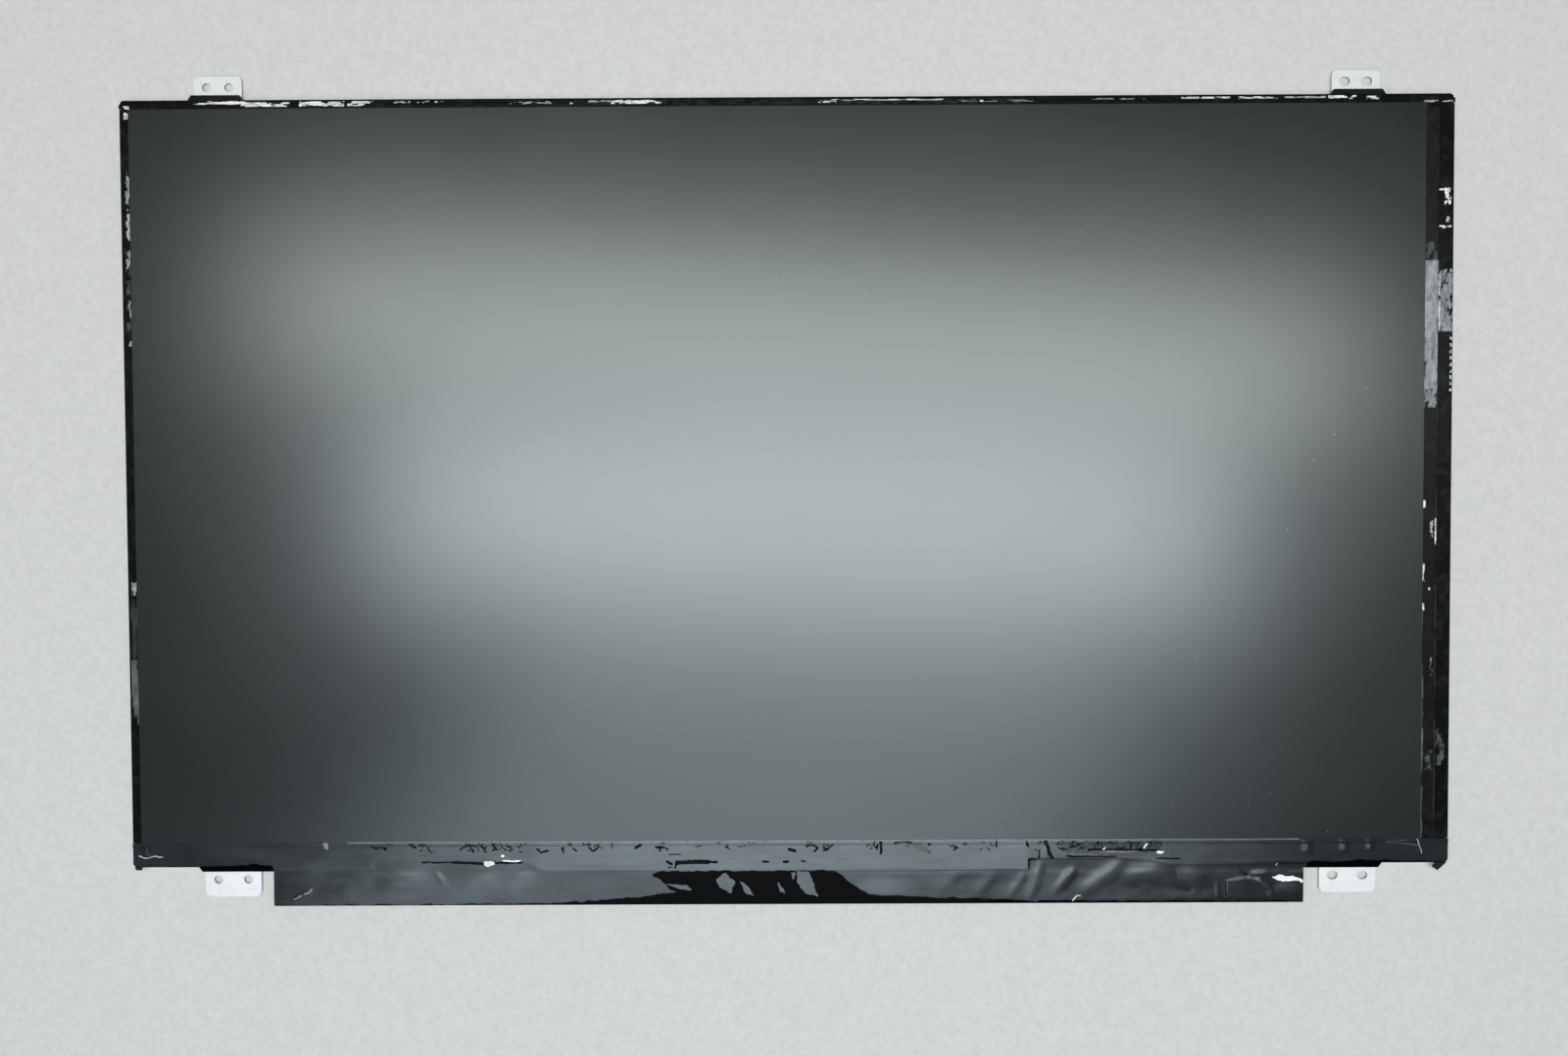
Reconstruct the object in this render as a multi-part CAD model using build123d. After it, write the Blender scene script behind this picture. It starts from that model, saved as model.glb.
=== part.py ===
from build123d import *
import os
from dataclasses import dataclass

# A slim laptop screen panel, lying face up with the top of the picture towards +Y.
# All sizes are millimetres. Distances across the screen start at the middle of the picture.

# Picture area, the black borders round it and the corners of the outline, measured over the tape
active_width = 344.16
active_height = 193.59
side_border = 7.67
end_border = 7.405
corner_radius = 1.2

# Glass cell, set in from the outline
glass_left_margin = 1.3
glass_right_margin = 4.25
glass_top_margin = 1.35
glass_bottom_margin = 2.0
driver_ledge = 3.8
polariser_inset = 0.35
polariser_chin = 0.95

# Thicknesses of the stack, from the back to the front
cover_gauge = 0.4
reflector_thickness = 0.2
guide_thickness = 0.6
diffuser_thickness = 0.12
prism_thickness = 0.14
film_clearance = 0.08
shelf_thickness = 0.4
cell_tape_thickness = 0.06
polariser_thickness = 0.15
glass_thickness = 0.3
edge_tape = 0.1

# Folded back cover
cover_bend_radius = 0.6
bend_relief = 0.8
wall_gap = 0.2
window_width = 6.4
window_height = 0.8
window_sill = 0.9
side_window_pitch = 62.0
side_window_count = 3
top_window_pitch = 72.0
top_window_count = 4

# Fixing ears, a pair at the top and a pair at the bottom
top_ear_inset = 25.9
top_ear_width = 13.0
top_ear_reach = 6.8
top_hole_setback = 2.95
top_hole_spacing = 6.0
top_ear_corner = 1.3
bottom_ear_inset = 26.65
bottom_ear_width = 15.4
bottom_ear_reach = 8.6
bottom_hole_setback = 4.7
bottom_hole_spacing = 8.2
bottom_ear_corner = 1.7
ear_hole_diameter = 2.4
ear_slot_length = 2.9

# Moulded frame
frame_fit = 0.05
bend_clearance = 0.1
window_margin = 0.8
cell_clearance = 0.15
cavity_clearance = 0.25
hook_clearance = 0.1
bump_reach = 1.3
bump_slope = 0.9
chin_reach = 1.2
chin_drop = 0.2

# Light guide and its films
guide_side_margin = 3.2
guide_top_margin = 3.6
guide_bottom_margin = 2.6
film_inset = 0.3
film_tab_width = 9.0
film_tab_reach = 1.4
film_tab_inset = 85.0

# Row of side-firing lamps along the lower edge of the guide
led_count = 36
led_end_inset = 10.8
led_width = 3.0
led_depth = 0.8
led_height = 0.6
led_gap = 0.05
led_cup_wall = 0.12
led_cup_depth = 0.3
strip_thickness = 0.15
strip_width = 3.8
strip_lap = 0.7
tail_inset = 22.0
tail_width = 8.0
tail_lap = 3.4
tail_rise = 1.8

# Driver board below the module, and the films that carry the glass's lines to it
board_left_inset = 38.85
board_right_inset = 39.75
board_width = 9.1
board_thickness = 0.6
board_gap = 0.4
board_notch_radius = 0.75
driver_film_count = 4
driver_film_end_inset = 38.5
driver_film_glass_width = 44.0
driver_film_board_width = 40.0
driver_film_thickness = 0.06
driver_film_glass_lap = 2.4
driver_film_board_lap = 1.8
driver_chip_length = 20.0
driver_chip_width = 1.3
driver_chip_height = 0.35
chip_clearance = 0.3

# Packages on the rear face of the board; a place is the distance from the board's left end,
# or from its right end where it is negative
timing_size = 7.0
timing_height = 0.85
timing_place = 82.0
power_size = 5.0
power_height = 0.8
power_place = 130.0
backlight_size = 4.0
backlight_height = 0.8
backlight_place = -62.0
memory_length = 3.0
memory_width = 2.0
memory_height = 0.6
memory_place = 103.0
package_edge = 0.08
inductor_size = 4.0
inductor_height = 1.2
inductor_corner = 0.7
inductor_places = (137.5, -54.5)
capacitor_length = 2.0
capacitor_width = 1.25
capacitor_height = 0.95
capacitor_cap = 0.4
capacitor_cap_step = 0.03
capacitor_pitch = 2.6
capacitor_rows = 2
capacitor_columns = 3
capacitor_places = (145.5, -46.5)
small_length = 1.0
small_width = 0.5
small_capacitor_height = 0.5
small_resistor_height = 0.35
small_pitch_x = 1.9
small_pitch_y = 1.5
small_rows = 4
small_columns = 4
small_capacitor_places = (66.0, 95.0, 122.0, -36.0)
small_resistor_places = (73.5, 112.0, -70.0, -80.0)

# Thirty-way receptacle at the lower edge of the board
connector_place = 45.5
connector_length = 20.4
connector_depth = 3.9
connector_height = 1.1
connector_setback = 0.3
connector_side_wall = 1.6
connector_back_wall = 0.9
connector_floor = 0.2
shell_gauge = 0.15
contact_count = 30
contact_pitch = 0.5
contact_width = 0.2
contact_gauge = 0.12
contact_mouth = 0.5
contact_foot = 0.7
contact_clearance = 0.05

# Black edge tape and the tape over the board
top_tape_reach = 2.5
left_tape_reach = 2.55
right_tape_reach = 7.75
tape_skirt = 1.9
tape_lip = 0.05
tape_seam = 0.05
tape_slope = 0.3
board_tape_margin = 0.3
torn_tail = [(4.45, -1.0), (2.85, -2.15), (0.35, 0.1), (3.35, 0.6)]
torn_stub = [(0.45, 0.2), (0.75, -0.7), (2.35, -0.8), (2.75, 0.3)]

# Folds that stand up in the tape over the board: the places of their two ends, as distances
# inwards from the right-hand edge of the outline, or from the left-hand edge where negative,
# and down from the lower edge
tape_fold_width = 1.1
tape_fold_height = 0.14
tape_folds = [((36.2, -4.4), (36.4, -1.4)), ((26.4, -4.5), (26.7, -1.0)), ((19.2, -4.4), (19.0, -1.6)),
              ((112.0, -4.0), (105.5, 1.6)), ((108.0, 6.0), (86.0, 2.4)), ((100.0, 1.0), (74.0, -2.6)),
              ((-41.5, 8.4), (-59.5, 4.2)), ((-63.5, 7.6), (-97.5, 2.6))]

# Levels above the back face
guide_level = cover_gauge + reflector_thickness
diffuser_level = guide_level + guide_thickness
lower_prism_level = diffuser_level + diffuser_thickness
upper_prism_level = lower_prism_level + prism_thickness
shelf_level = upper_prism_level + prism_thickness + film_clearance
cell_tape_level = shelf_level + shelf_thickness
rear_polariser_level = cell_tape_level + cell_tape_thickness
tft_level = rear_polariser_level + polariser_thickness
tft_top = tft_level + glass_thickness
filter_top = tft_top + glass_thickness
front_level = filter_top + polariser_thickness
rim_level = tft_top
driver_film_top = tft_top + driver_film_thickness
board_rear = tft_top - board_thickness

# Places across the screen
half_width = active_width / 2 + side_border
half_height = active_height / 2 + end_border
chin_edge = -half_height - chin_reach
board_high = chin_edge - board_gap
board_low = board_high - board_width
board_middle = (board_high + board_low) / 2
board_left = -half_width + board_left_inset
board_right = half_width - board_right_inset
board_length = board_right - board_left
board_centre = (board_left + board_right) / 2
tail_centre = board_right - tail_inset
top_ear_place = half_width - top_ear_inset
bottom_ear_place = half_width - bottom_ear_inset
frame_shift = (half_height + top_ear_reach + board_low - edge_tape) / -2


@dataclass(frozen=True)
class Area:
    """A rectangle across the screen, given by its four sides."""

    left: float
    right: float
    low: float
    high: float

    def grown(self, by):
        """The same rectangle with every side moved outwards."""
        return Area(self.left - by, self.right + by, self.low - by, self.high + by)

    def sketch(self):
        """The rectangle as a flat sketch."""
        middle = Pos((self.left + self.right) / 2, (self.low + self.high) / 2)
        return middle * Rectangle(self.right - self.left, self.high - self.low)


@dataclass(frozen=True)
class Ear:
    """One fixing ear of the back cover; end is +1 at the top edge and -1 at the bottom edge."""

    centre: float
    end: int
    width: float
    reach: float
    hole_setback: float
    hole_spacing: float
    hole_length: float
    corner: float

    def blank(self):
        """Outline of the ear, rooted inside the edge of the cover."""
        root = half_height - cover_bend_radius - edge_tape
        outline = Area(-self.width / 2, self.width / 2, root, half_height + self.reach).sketch()
        outline = fillet(outline.vertices().group_by(Axis.Y)[-1], self.corner)
        return self.placed(outline)

    def holes(self):
        """The two fixing holes, round or lengthened into slots along the edge."""
        row = half_height + self.reach - self.hole_setback
        if self.hole_length > ear_hole_diameter:
            hole = SlotOverall(self.hole_length, ear_hole_diameter)
        else:
            hole = Circle(ear_hole_diameter / 2)
        pair = [Pos(side * self.hole_spacing / 2, row) * hole for side in (-1, 1)]
        return self.placed(Sketch() + pair)

    def reliefs(self):
        """Notches beside the ear that let the wall fold without tearing."""
        inner = half_height - edge_tape - cover_bend_radius - bend_relief
        notches = Sketch()
        for side in (-1, 1):
            middle = side * (self.width + bend_relief) / 2
            notch = Area(middle - bend_relief / 2, middle + bend_relief / 2, inner, half_height)
            notches += notch.sketch()
        return self.placed(notches)

    def placed(self, sketch):
        """Move a sketch drawn at the middle of the top edge to this ear."""
        turn = Rot(0, 0, 0 if self.end > 0 else 180)
        return Pos(self.centre, 0) * turn * sketch


def ears():
    """The four ears; the left-hand holes are round, and the right-hand ones are slots."""
    for side, hole_length in ((-1, ear_hole_diameter), (1, ear_slot_length)):
        yield Ear(side * top_ear_place, 1, top_ear_width, top_ear_reach,
                  top_hole_setback, top_hole_spacing, hole_length, top_ear_corner)
        yield Ear(side * bottom_ear_place, -1, bottom_ear_width, bottom_ear_reach,
                  bottom_hole_setback, bottom_hole_spacing, hole_length, bottom_ear_corner)


module_area = Area(-half_width, half_width, -half_height, half_height)
case_area = module_area.grown(-edge_tape)
frame_area = case_area.grown(-cover_gauge - frame_fit)
window_area = Area(-active_width / 2, active_width / 2,
                   -active_height / 2, active_height / 2).grown(window_margin)
cell_area = Area(-half_width + glass_left_margin, half_width - glass_right_margin,
                 -half_height + glass_bottom_margin, half_height - glass_top_margin)
filter_low = cell_area.low + driver_ledge
polariser_area = Area(cell_area.left + polariser_inset, cell_area.right - polariser_inset,
                      filter_low + polariser_chin, cell_area.high - polariser_inset)
guide_area = Area(-active_width / 2 - guide_side_margin, active_width / 2 + guide_side_margin,
                  -active_height / 2 - guide_bottom_margin, active_height / 2 + guide_top_margin)
led_high = guide_area.low - led_gap
strip_high = guide_area.low + strip_lap
strip_low = strip_high - strip_width
lamp_bay = Area(guide_area.left, guide_area.right, strip_low, guide_area.low)
chin_half = bottom_ear_place + bottom_ear_width / 2
top_bump_half = top_ear_width / 2


def plate(outline, bottom, top):
    """A flat piece: an outline raised from one level to another."""
    return Pos(0, 0, bottom) * extrude(outline, top - bottom)


def block(area, bottom, top):
    """A rectangular piece between two levels."""
    return plate(area.sketch(), bottom, top)


def rounded(area, radius):
    """A rectangle with round corners."""
    return fillet(area.sketch().vertices(), radius)


def flat_shape(points):
    """A closed outline through a few corner points."""
    return make_face(Polyline(*points, close=True))


def profile(section, outward, middle, length):
    """Draw a section out along an edge.

    The section's first axis points outwards from the edge and its second one upwards.
    """
    plane = Plane(origin=middle, x_dir=outward, z_dir=Vector(*outward).cross(Vector(0, 0, 1)))
    return extrude(plane * section, length / 2, both=True)


def folded_film(path, gauge, outward, middle, length):
    """A film or thin sheet folded along an edge, with its inner face on the path."""
    outer = offset(Polyline(*path), amount=gauge, side=Side.LEFT, kind=Kind.INTERSECTION)
    return profile(make_face(outer.edges()), outward, middle, length)


def rooted_lip(half_length, reach):
    """A lip that stands out past the upper edge between sloped ends, centred on that edge."""
    foot = half_length + bump_slope
    root = half_height - edge_tape - cover_gauge - cover_bend_radius
    edge = half_height
    return flat_shape([(-foot, root), (-foot, edge), (-half_length, edge + reach),
                       (half_length, edge + reach), (foot, edge), (foot, root)])


def spaced(count, pitch):
    """Evenly spaced places about the middle."""
    return [(place - (count - 1) / 2) * pitch for place in range(count)]


def spread(count, first, last):
    """Evenly spread places from the first to the last."""
    return [first + (last - first) * place / (count - 1) for place in range(count)]


def snap_places():
    """Middle and outward direction of every snap window in the cover's walls."""
    for side in (-1, 1):
        for place in spaced(side_window_count, side_window_pitch):
            yield (side * half_width, place, 0), (side, 0, 0)
    for place in spaced(top_window_count, top_window_pitch):
        yield (place, half_height, 0), (0, 1, 0)


def back_cover():
    """Stamped tray with folded walls, snap windows and four fixing ears."""
    inner_radius = cover_bend_radius - cover_gauge
    tray = plate(rounded(case_area, corner_radius), 0, rim_level)
    tray = fillet(tray.faces().sort_by(Axis.Z)[0].edges(), cover_bend_radius)
    hollow = plate(rounded(case_area.grown(-cover_gauge), corner_radius - cover_gauge),
                   cover_gauge, rim_level)
    hollow = fillet(hollow.faces().sort_by(Axis.Z)[0].edges(), inner_radius)
    tray -= hollow

    wall_root = cover_gauge + cover_bend_radius
    gap = top_bump_half + bump_slope + wall_gap
    for side in (-1, 1):
        middle = side * top_ear_place
        tray -= block(Area(middle - gap, middle + gap, half_height - wall_root, half_height),
                      cover_gauge, rim_level)
    gap = chin_half + bump_slope + wall_gap
    tray -= block(Area(-gap, gap, -half_height, wall_root - half_height), cover_gauge, rim_level)

    hole = Area(-wall_root, wall_root, window_sill, window_sill + window_height).sketch()
    for middle, outward in snap_places():
        tray -= profile(hole, outward, middle, window_width)
    for ear in ears():
        tray -= plate(ear.reliefs(), 0, rim_level)
    for ear in ears():
        tray += plate(ear.blank() - ear.holes(), 0, cover_gauge)
    return tray


def film_outline(inset):
    """Outline of the light guide and its films, with two locating tabs at the top."""
    outline = guide_area.grown(-inset).sketch()
    for side in (-1, 1):
        middle = side * (guide_area.right - film_tab_inset)
        tab = Area(middle - film_tab_width / 2, middle + film_tab_width / 2,
                   guide_area.high - film_tab_reach, guide_area.high + film_tab_reach)
        outline += tab.grown(-inset).sketch()
    return outline


def snap_hook():
    """Section of a hook: flat on top to catch its window, sloped below to lead it in."""
    root = -edge_tape - cover_gauge - frame_fit
    tip = -edge_tape - hook_clearance
    low = window_sill + hook_clearance
    high = window_sill + window_height - hook_clearance
    return flat_shape([(root - frame_fit, low), (root, low), (tip, (low + high) / 2),
                       (tip, high), (root - frame_fit, high)])


def chip_places():
    """Middles of the driver films along the lower edge."""
    return spread(driver_film_count, board_left + driver_film_end_inset,
                  board_right - driver_film_end_inset)


def chip_area(place):
    """The rectangle of one driver chip, between the glass and the board."""
    middle = (cell_area.low + board_high) / 2
    return Area(place - driver_chip_length / 2, place + driver_chip_length / 2,
                middle - driver_chip_width / 2, middle + driver_chip_width / 2)


def mid_frame():
    """Moulded ring: seat for the films below, shelf and pocket for the glass above."""
    frame = plate(rounded(frame_area, corner_radius - cover_gauge), cover_gauge, rim_level)
    frame = chamfer(frame.faces().sort_by(Axis.Z)[0].edges(),
                    cover_bend_radius - cover_gauge + bend_clearance)
    for side in (-1, 1):
        bump = Pos(side * top_ear_place, 0) * rooted_lip(top_bump_half, bump_reach)
        frame += plate(bump, cover_gauge, rim_level)
    frame += plate(Rot(0, 0, 180) * rooted_lip(chin_half, chin_reach), cover_gauge, rim_level)
    for middle, outward in snap_places():
        frame += profile(snap_hook(), outward, middle, window_width - 2 * hook_clearance)

    cavity = film_outline(-cavity_clearance) + lamp_bay.grown(cavity_clearance).sketch()
    frame -= plate(cavity, cover_gauge, shelf_level)
    frame -= block(window_area, cover_gauge, rim_level)
    pocket = cell_area.grown(cell_clearance)
    frame -= block(pocket, cell_tape_level, rim_level)

    landing = Area(board_left, board_right, chin_edge, pocket.low)
    frame -= block(landing, rim_level - chin_drop, rim_level)
    for place in chip_places():
        frame -= block(chip_area(place).grown(chip_clearance),
                       rim_level - driver_chip_height - chip_clearance, rim_level)
    tail = Area(tail_centre - tail_width / 2, tail_centre + tail_width / 2, chin_edge, strip_low)
    frame -= block(tail.grown(cavity_clearance), cover_gauge,
                   cover_gauge + strip_thickness + cavity_clearance)
    return frame


def reflector_sheet():
    """White sheet under the light guide; it stops short of the lamp strip."""
    short = Area(guide_area.left, guide_area.right, guide_area.low, strip_high)
    outline = film_outline(film_inset) - short.grown(film_inset).sketch()
    return plate(outline, cover_gauge, guide_level)


def light_guide():
    """Clear plate that spreads the lamps' light."""
    return plate(film_outline(0), guide_level, diffuser_level)


def light_film(bottom, thickness):
    """One of the loose films that lie on the light guide."""
    return plate(film_outline(film_inset), bottom, bottom + thickness)


def lamp():
    """One side-firing lamp: a moulded body with a shallow cup facing the light guide."""
    body = Area(-led_width / 2, led_width / 2, -led_depth, 0)
    cup = Area(-led_width / 2 + led_cup_wall, led_width / 2 - led_cup_wall, -led_cup_depth, 0)
    return block(body, 0, led_height) - block(cup, led_cup_wall, led_height - led_cup_wall)


def led_packages():
    """The row of lamps on the strip."""
    seat = cover_gauge + strip_thickness
    row = spread(led_count, guide_area.left + led_end_inset, guide_area.right - led_end_inset)
    return [Pos(place, led_high, seat) * lamp() for place in row]


def led_strip():
    """Flexible strip under the lamps, with a tail that rises to the rear of the board."""
    strip = block(Area(guide_area.left, guide_area.right, strip_low, strip_high),
                  cover_gauge, cover_gauge + strip_thickness)
    bend = -chin_edge + cavity_clearance
    seat = board_rear - strip_thickness
    path = [(-strip_high, cover_gauge), (bend, cover_gauge),
            (bend + tail_rise, seat), (bend + tail_rise + tail_lap, seat)]
    tail = folded_film(path, strip_thickness, (0, -1, 0), (tail_centre, 0, 0), tail_width)
    return strip + tail


def cell_tape():
    """Ring of foam tape between the frame's shelf and the glass cell."""
    ring = polariser_area.sketch() - window_area.sketch()
    return plate(ring, cell_tape_level, rear_polariser_level)


def colour_filter_glass():
    """Front pane; it stops short at the bottom, where the driver films are bonded."""
    pane = Area(cell_area.left, cell_area.right, filter_low, cell_area.high)
    return block(pane, tft_top, filter_top)


def driver_films():
    """Films bonded from the glass to the board, narrower at the board."""
    glass_end = cell_area.low + driver_film_glass_lap
    board_end = board_high - driver_film_board_lap
    wide = driver_film_glass_width / 2
    narrow = driver_film_board_width / 2
    outline = flat_shape([(-wide, glass_end), (-wide, cell_area.low), (-narrow, board_high),
                          (-narrow, board_end), (narrow, board_end), (narrow, board_high),
                          (wide, cell_area.low), (wide, glass_end)])
    film = plate(outline, tft_top, driver_film_top)
    return [Pos(place, 0, 0) * film for place in chip_places()]


def driver_chips():
    """Long thin chips under the driver films."""
    return [block(chip_area(place), tft_top - driver_chip_height, tft_top)
            for place in chip_places()]


def driver_board():
    """Narrow board with a half-round tooling notch in each end."""
    outline = Rectangle(board_length, board_width)
    for side in (-1, 1):
        outline -= Pos(side * board_length / 2, 0) * Circle(board_notch_radius)
    return plate(Pos(board_centre, board_middle) * outline, board_rear, tft_top)


def along_board(place):
    """Where a place along the board is: from its left end, or from its right end if negative."""
    return (board_left if place > 0 else board_right) + place


def hung(shape, height, place):
    """Hang a piece that is modelled about its own middle from the board's rear face."""
    return Pos(along_board(place), board_middle, board_rear - height / 2) * shape


def package(length, width, height, place):
    """A moulded chip with a small bevel round its outer face."""
    body = Box(length, width, height)
    body = chamfer(body.faces().sort_by(Axis.Z)[0].edges(), package_edge)
    return hung(body, height, place)


def power_inductors():
    """Square wound cores with cut corners."""
    core = chamfer(Rectangle(inductor_size, inductor_size).vertices(), inductor_corner)
    core = Pos(0, 0, -inductor_height / 2) * extrude(core, inductor_height)
    return [hung(core, inductor_height, place) for place in inductor_places]


def large_capacitors():
    """Ceramic blocks with a plated cap on each end."""
    body = Box(capacitor_length, capacitor_width, capacitor_height - capacitor_cap_step)
    body = Pos(0, 0, capacitor_cap_step / 2) * body
    for side in (-1, 1):
        end = Pos(side * (capacitor_length - capacitor_cap) / 2, 0, 0)
        body += end * Box(capacitor_cap, capacitor_width + 2 * capacitor_cap_step, capacitor_height)
    grid = GridLocations(capacitor_pitch, capacitor_pitch, capacitor_columns, capacitor_rows)
    return [hung(spot * body, capacitor_height, place)
            for place in capacitor_places for spot in grid]


def small_parts(height, places):
    """Groups of small two-ended chips in a grid."""
    body = Box(small_length, small_width, height)
    grid = GridLocations(small_pitch_x, small_pitch_y, small_columns, small_rows)
    return [hung(spot * body, height, place) for place in places for spot in grid]


def connector_front():
    """Where the mouth of the receptacle stands, just inside the board's lower edge."""
    return board_low + connector_setback


def connector_housing():
    """Moulded tray of the receptacle, open at its mouth and under the shell."""
    front = connector_front()
    low = board_rear - connector_height + shell_gauge
    floor = board_rear - connector_floor
    body = Area(-connector_length / 2 + shell_gauge, connector_length / 2 - shell_gauge,
                front, front + connector_depth)
    mouth = Area(body.left + connector_side_wall, body.right - connector_side_wall,
                 front, body.high - connector_back_wall)
    row = contact_pitch * (contact_count - 1) + contact_width + 2 * contact_clearance
    slit = Area(-row / 2, row / 2, front, body.high)
    housing = block(body, low, board_rear) - block(mouth, low, floor)
    housing -= block(slit, floor - contact_gauge - contact_clearance, floor)
    return Pos(along_board(connector_place), 0, 0) * housing


def connector_shell():
    """Folded metal shell round the receptacle, with its two legs on the board."""
    low = board_rear - connector_height + shell_gauge
    half = connector_length / 2 - shell_gauge
    path = [(half, board_rear), (half, low), (-half, low), (-half, board_rear)]
    middle = (along_board(connector_place), connector_front() + connector_depth / 2, 0)
    return folded_film(path, shell_gauge, (1, 0, 0), middle, connector_depth)


def connector_contacts():
    """Formed contacts: flat in the mouth, out through the back wall and down to the board."""
    front = connector_front()
    back = front + connector_depth
    inside = board_rear - connector_floor - contact_gauge
    foot = board_rear - contact_gauge
    step = contact_clearance + contact_gauge
    path = [(front + contact_mouth, inside), (back + step, inside),
            (back + 2 * step, foot), (back + 2 * step + contact_foot, foot)]
    contact = folded_film(path, contact_gauge, (0, 1, 0), (along_board(connector_place), 0, 0),
                          contact_width)
    return [Pos(place, 0, 0) * contact for place in spaced(contact_count, contact_pitch)]


def edge_path(reach, margin):
    """Inner face of an edge tape: along the polariser, down to the rim and round the wall."""
    return [(-reach, front_level), (-margin + tape_lip, front_level),
            (-margin + cell_clearance + tape_lip, rim_level),
            (-edge_tape, rim_level), (-edge_tape, rim_level - tape_skirt)]


def side_edge_tape(side, reach, margin):
    """Tape along one side, between the top tape and the tape over the board."""
    low = polariser_area.low
    high = half_height - top_tape_reach - tape_seam
    middle = (side * half_width, (low + high) / 2, 0)
    return folded_film(edge_path(reach, margin), edge_tape, (side, 0, 0), middle, high - low)


def top_edge_tape():
    """Tape along the top edge, cut round the bumps over the upper ears."""
    path = edge_path(top_tape_reach, glass_top_margin)
    middle = (0, half_height, 0)
    straight = 2 * (half_width - corner_radius)
    skirt = folded_film(path, edge_tape, (0, 1, 0), middle, straight)
    for side in (-1, 1):
        foot = top_bump_half + bump_slope + wall_gap
        ear = side * top_ear_place
        skirt -= block(Area(ear - foot, ear + foot, half_height - edge_tape, half_height),
                       0, front_level)
    flat = folded_film(path[:-1], edge_tape, (0, 1, 0), middle, case_area.right * 2)
    return skirt + (flat & plate(rounded(case_area, corner_radius), 0, front_level + edge_tape))


def fold_end(inset, drop):
    """Where one end of a fold is, in the middle of the tape's thickness."""
    edge = half_width if inset > 0 else -half_width
    return Vector(edge - inset, -half_height - drop, driver_film_top + edge_tape / 2)


def tape_fold(start, end):
    """A fold that stands up in the tape between two places and dies away at both ends."""
    first = fold_end(*start)
    run = fold_end(*end) - first
    upright = Plane(origin=first, x_dir=run, z_dir=run.cross(Vector(0, 0, 1)))
    rise = flat_shape([(0, 0), (run.length, 0), (run.length / 2, tape_fold_height + edge_tape / 2)])
    ridge = flat_shape([(-tape_fold_width / 2, 0), (tape_fold_width / 2, 0),
                        (0, tape_fold_height + edge_tape / 2)])
    across = Plane(origin=first, x_dir=Vector(0, 0, 1).cross(run), z_dir=run)
    return extrude(upright * rise, tape_fold_width, both=True) & extrude(across * ridge, run.length)


def board_cover_tape():
    """Tape from the edge of the polariser down over the driver films, round the board's edge."""
    level = driver_film_top
    step = -half_height - filter_low + tape_lip
    path = [(-half_height - polariser_area.low + tape_seam, filter_top), (step, filter_top),
            (step + tape_slope, level), (chin_reach, level)]
    middle = (0, -half_height, 0)
    band = folded_film(path, edge_tape, (0, -1, 0), middle, case_area.right * 2)
    chin = Rot(0, 0, 180) * rooted_lip(chin_half, chin_reach)
    band &= plate(rounded(case_area, corner_radius) + chin, 0, front_level)

    reach = -half_height - board_low
    path = [(0, level), (reach, level), (reach, board_rear)]
    middle = (board_centre, -half_height, 0)
    band += folded_film(path, edge_tape, (0, -1, 0), middle, board_length + 2 * board_tape_margin)

    low = -half_height + corner_radius
    high = filter_low - tape_lip - tape_slope
    path = [(-glass_left_margin, level), (-edge_tape, level), (-edge_tape, rim_level - tape_skirt)]
    for side in (-1, 1):
        middle = (side * half_width, (low + high) / 2, 0)
        band += folded_film(path, edge_tape, (side, 0, 0), middle, high - low)
    for side, torn in ((1, torn_tail), (-1, torn_stub)):
        outline = flat_shape([(side * (half_width - inset), along - half_height)
                              for inset, along in torn])
        band += plate(outline, level, level + edge_tape)
    for start, end in tape_folds:
        band += tape_fold(start, end)
    return band


def write(node, shape):
    """Write one piece, moved so that the origin is under the middle of the whole part."""
    solids = shape if isinstance(shape, list) else [shape]
    placed = [Pos(0, frame_shift, 0) * solid for solid in solids]
    export_step(placed[0] if len(placed) == 1 else Compound(children=placed), f"parts/{node}.step")


def main():
    """Build every piece and write it to its own file."""
    os.makedirs("parts", exist_ok=True)
    write("back_cover", back_cover())
    write("mid_frame", mid_frame())
    write("reflector_sheet", reflector_sheet())
    write("light_guide", light_guide())
    write("diffuser_film", light_film(diffuser_level, diffuser_thickness))
    write("lower_prism_film", light_film(lower_prism_level, prism_thickness))
    write("upper_prism_film", light_film(upper_prism_level, prism_thickness))
    write("led_strip", led_strip())
    write("led_packages", led_packages())
    write("cell_tape", cell_tape())
    write("rear_polariser", block(polariser_area, rear_polariser_level, tft_level))
    write("tft_glass", block(cell_area, tft_level, tft_top))
    write("colour_filter_glass", colour_filter_glass())
    write("front_polariser", block(polariser_area, filter_top, front_level))
    write("driver_films", driver_films())
    write("driver_chips", driver_chips())
    write("driver_board", driver_board())
    write("timing_controller", package(timing_size, timing_size, timing_height, timing_place))
    write("power_chip", package(power_size, power_size, power_height, power_place))
    write("backlight_chip",
          package(backlight_size, backlight_size, backlight_height, backlight_place))
    write("memory_chip", package(memory_length, memory_width, memory_height, memory_place))
    write("power_inductors", power_inductors())
    write("large_capacitors", large_capacitors())
    write("small_capacitors", small_parts(small_capacitor_height, small_capacitor_places))
    write("chip_resistors", small_parts(small_resistor_height, small_resistor_places))
    write("connector_housing", connector_housing())
    write("connector_shell", connector_shell())
    write("connector_contacts", connector_contacts())
    write("top_edge_tape", top_edge_tape())
    write("left_edge_tape", side_edge_tape(-1, left_tape_reach, glass_left_margin))
    write("right_edge_tape", side_edge_tape(1, right_tape_reach, glass_right_margin))
    write("board_cover_tape", board_cover_tape())


main()
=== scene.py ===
"""Looks of a slim laptop screen panel: its tapes, screen film, driver board, metal and studio."""

from __future__ import annotations

import logging
import math
from dataclasses import dataclass
from enum import Enum
from typing import Any, Sequence

import bpy
import numpy as np
from mathutils import Matrix, Vector

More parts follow.
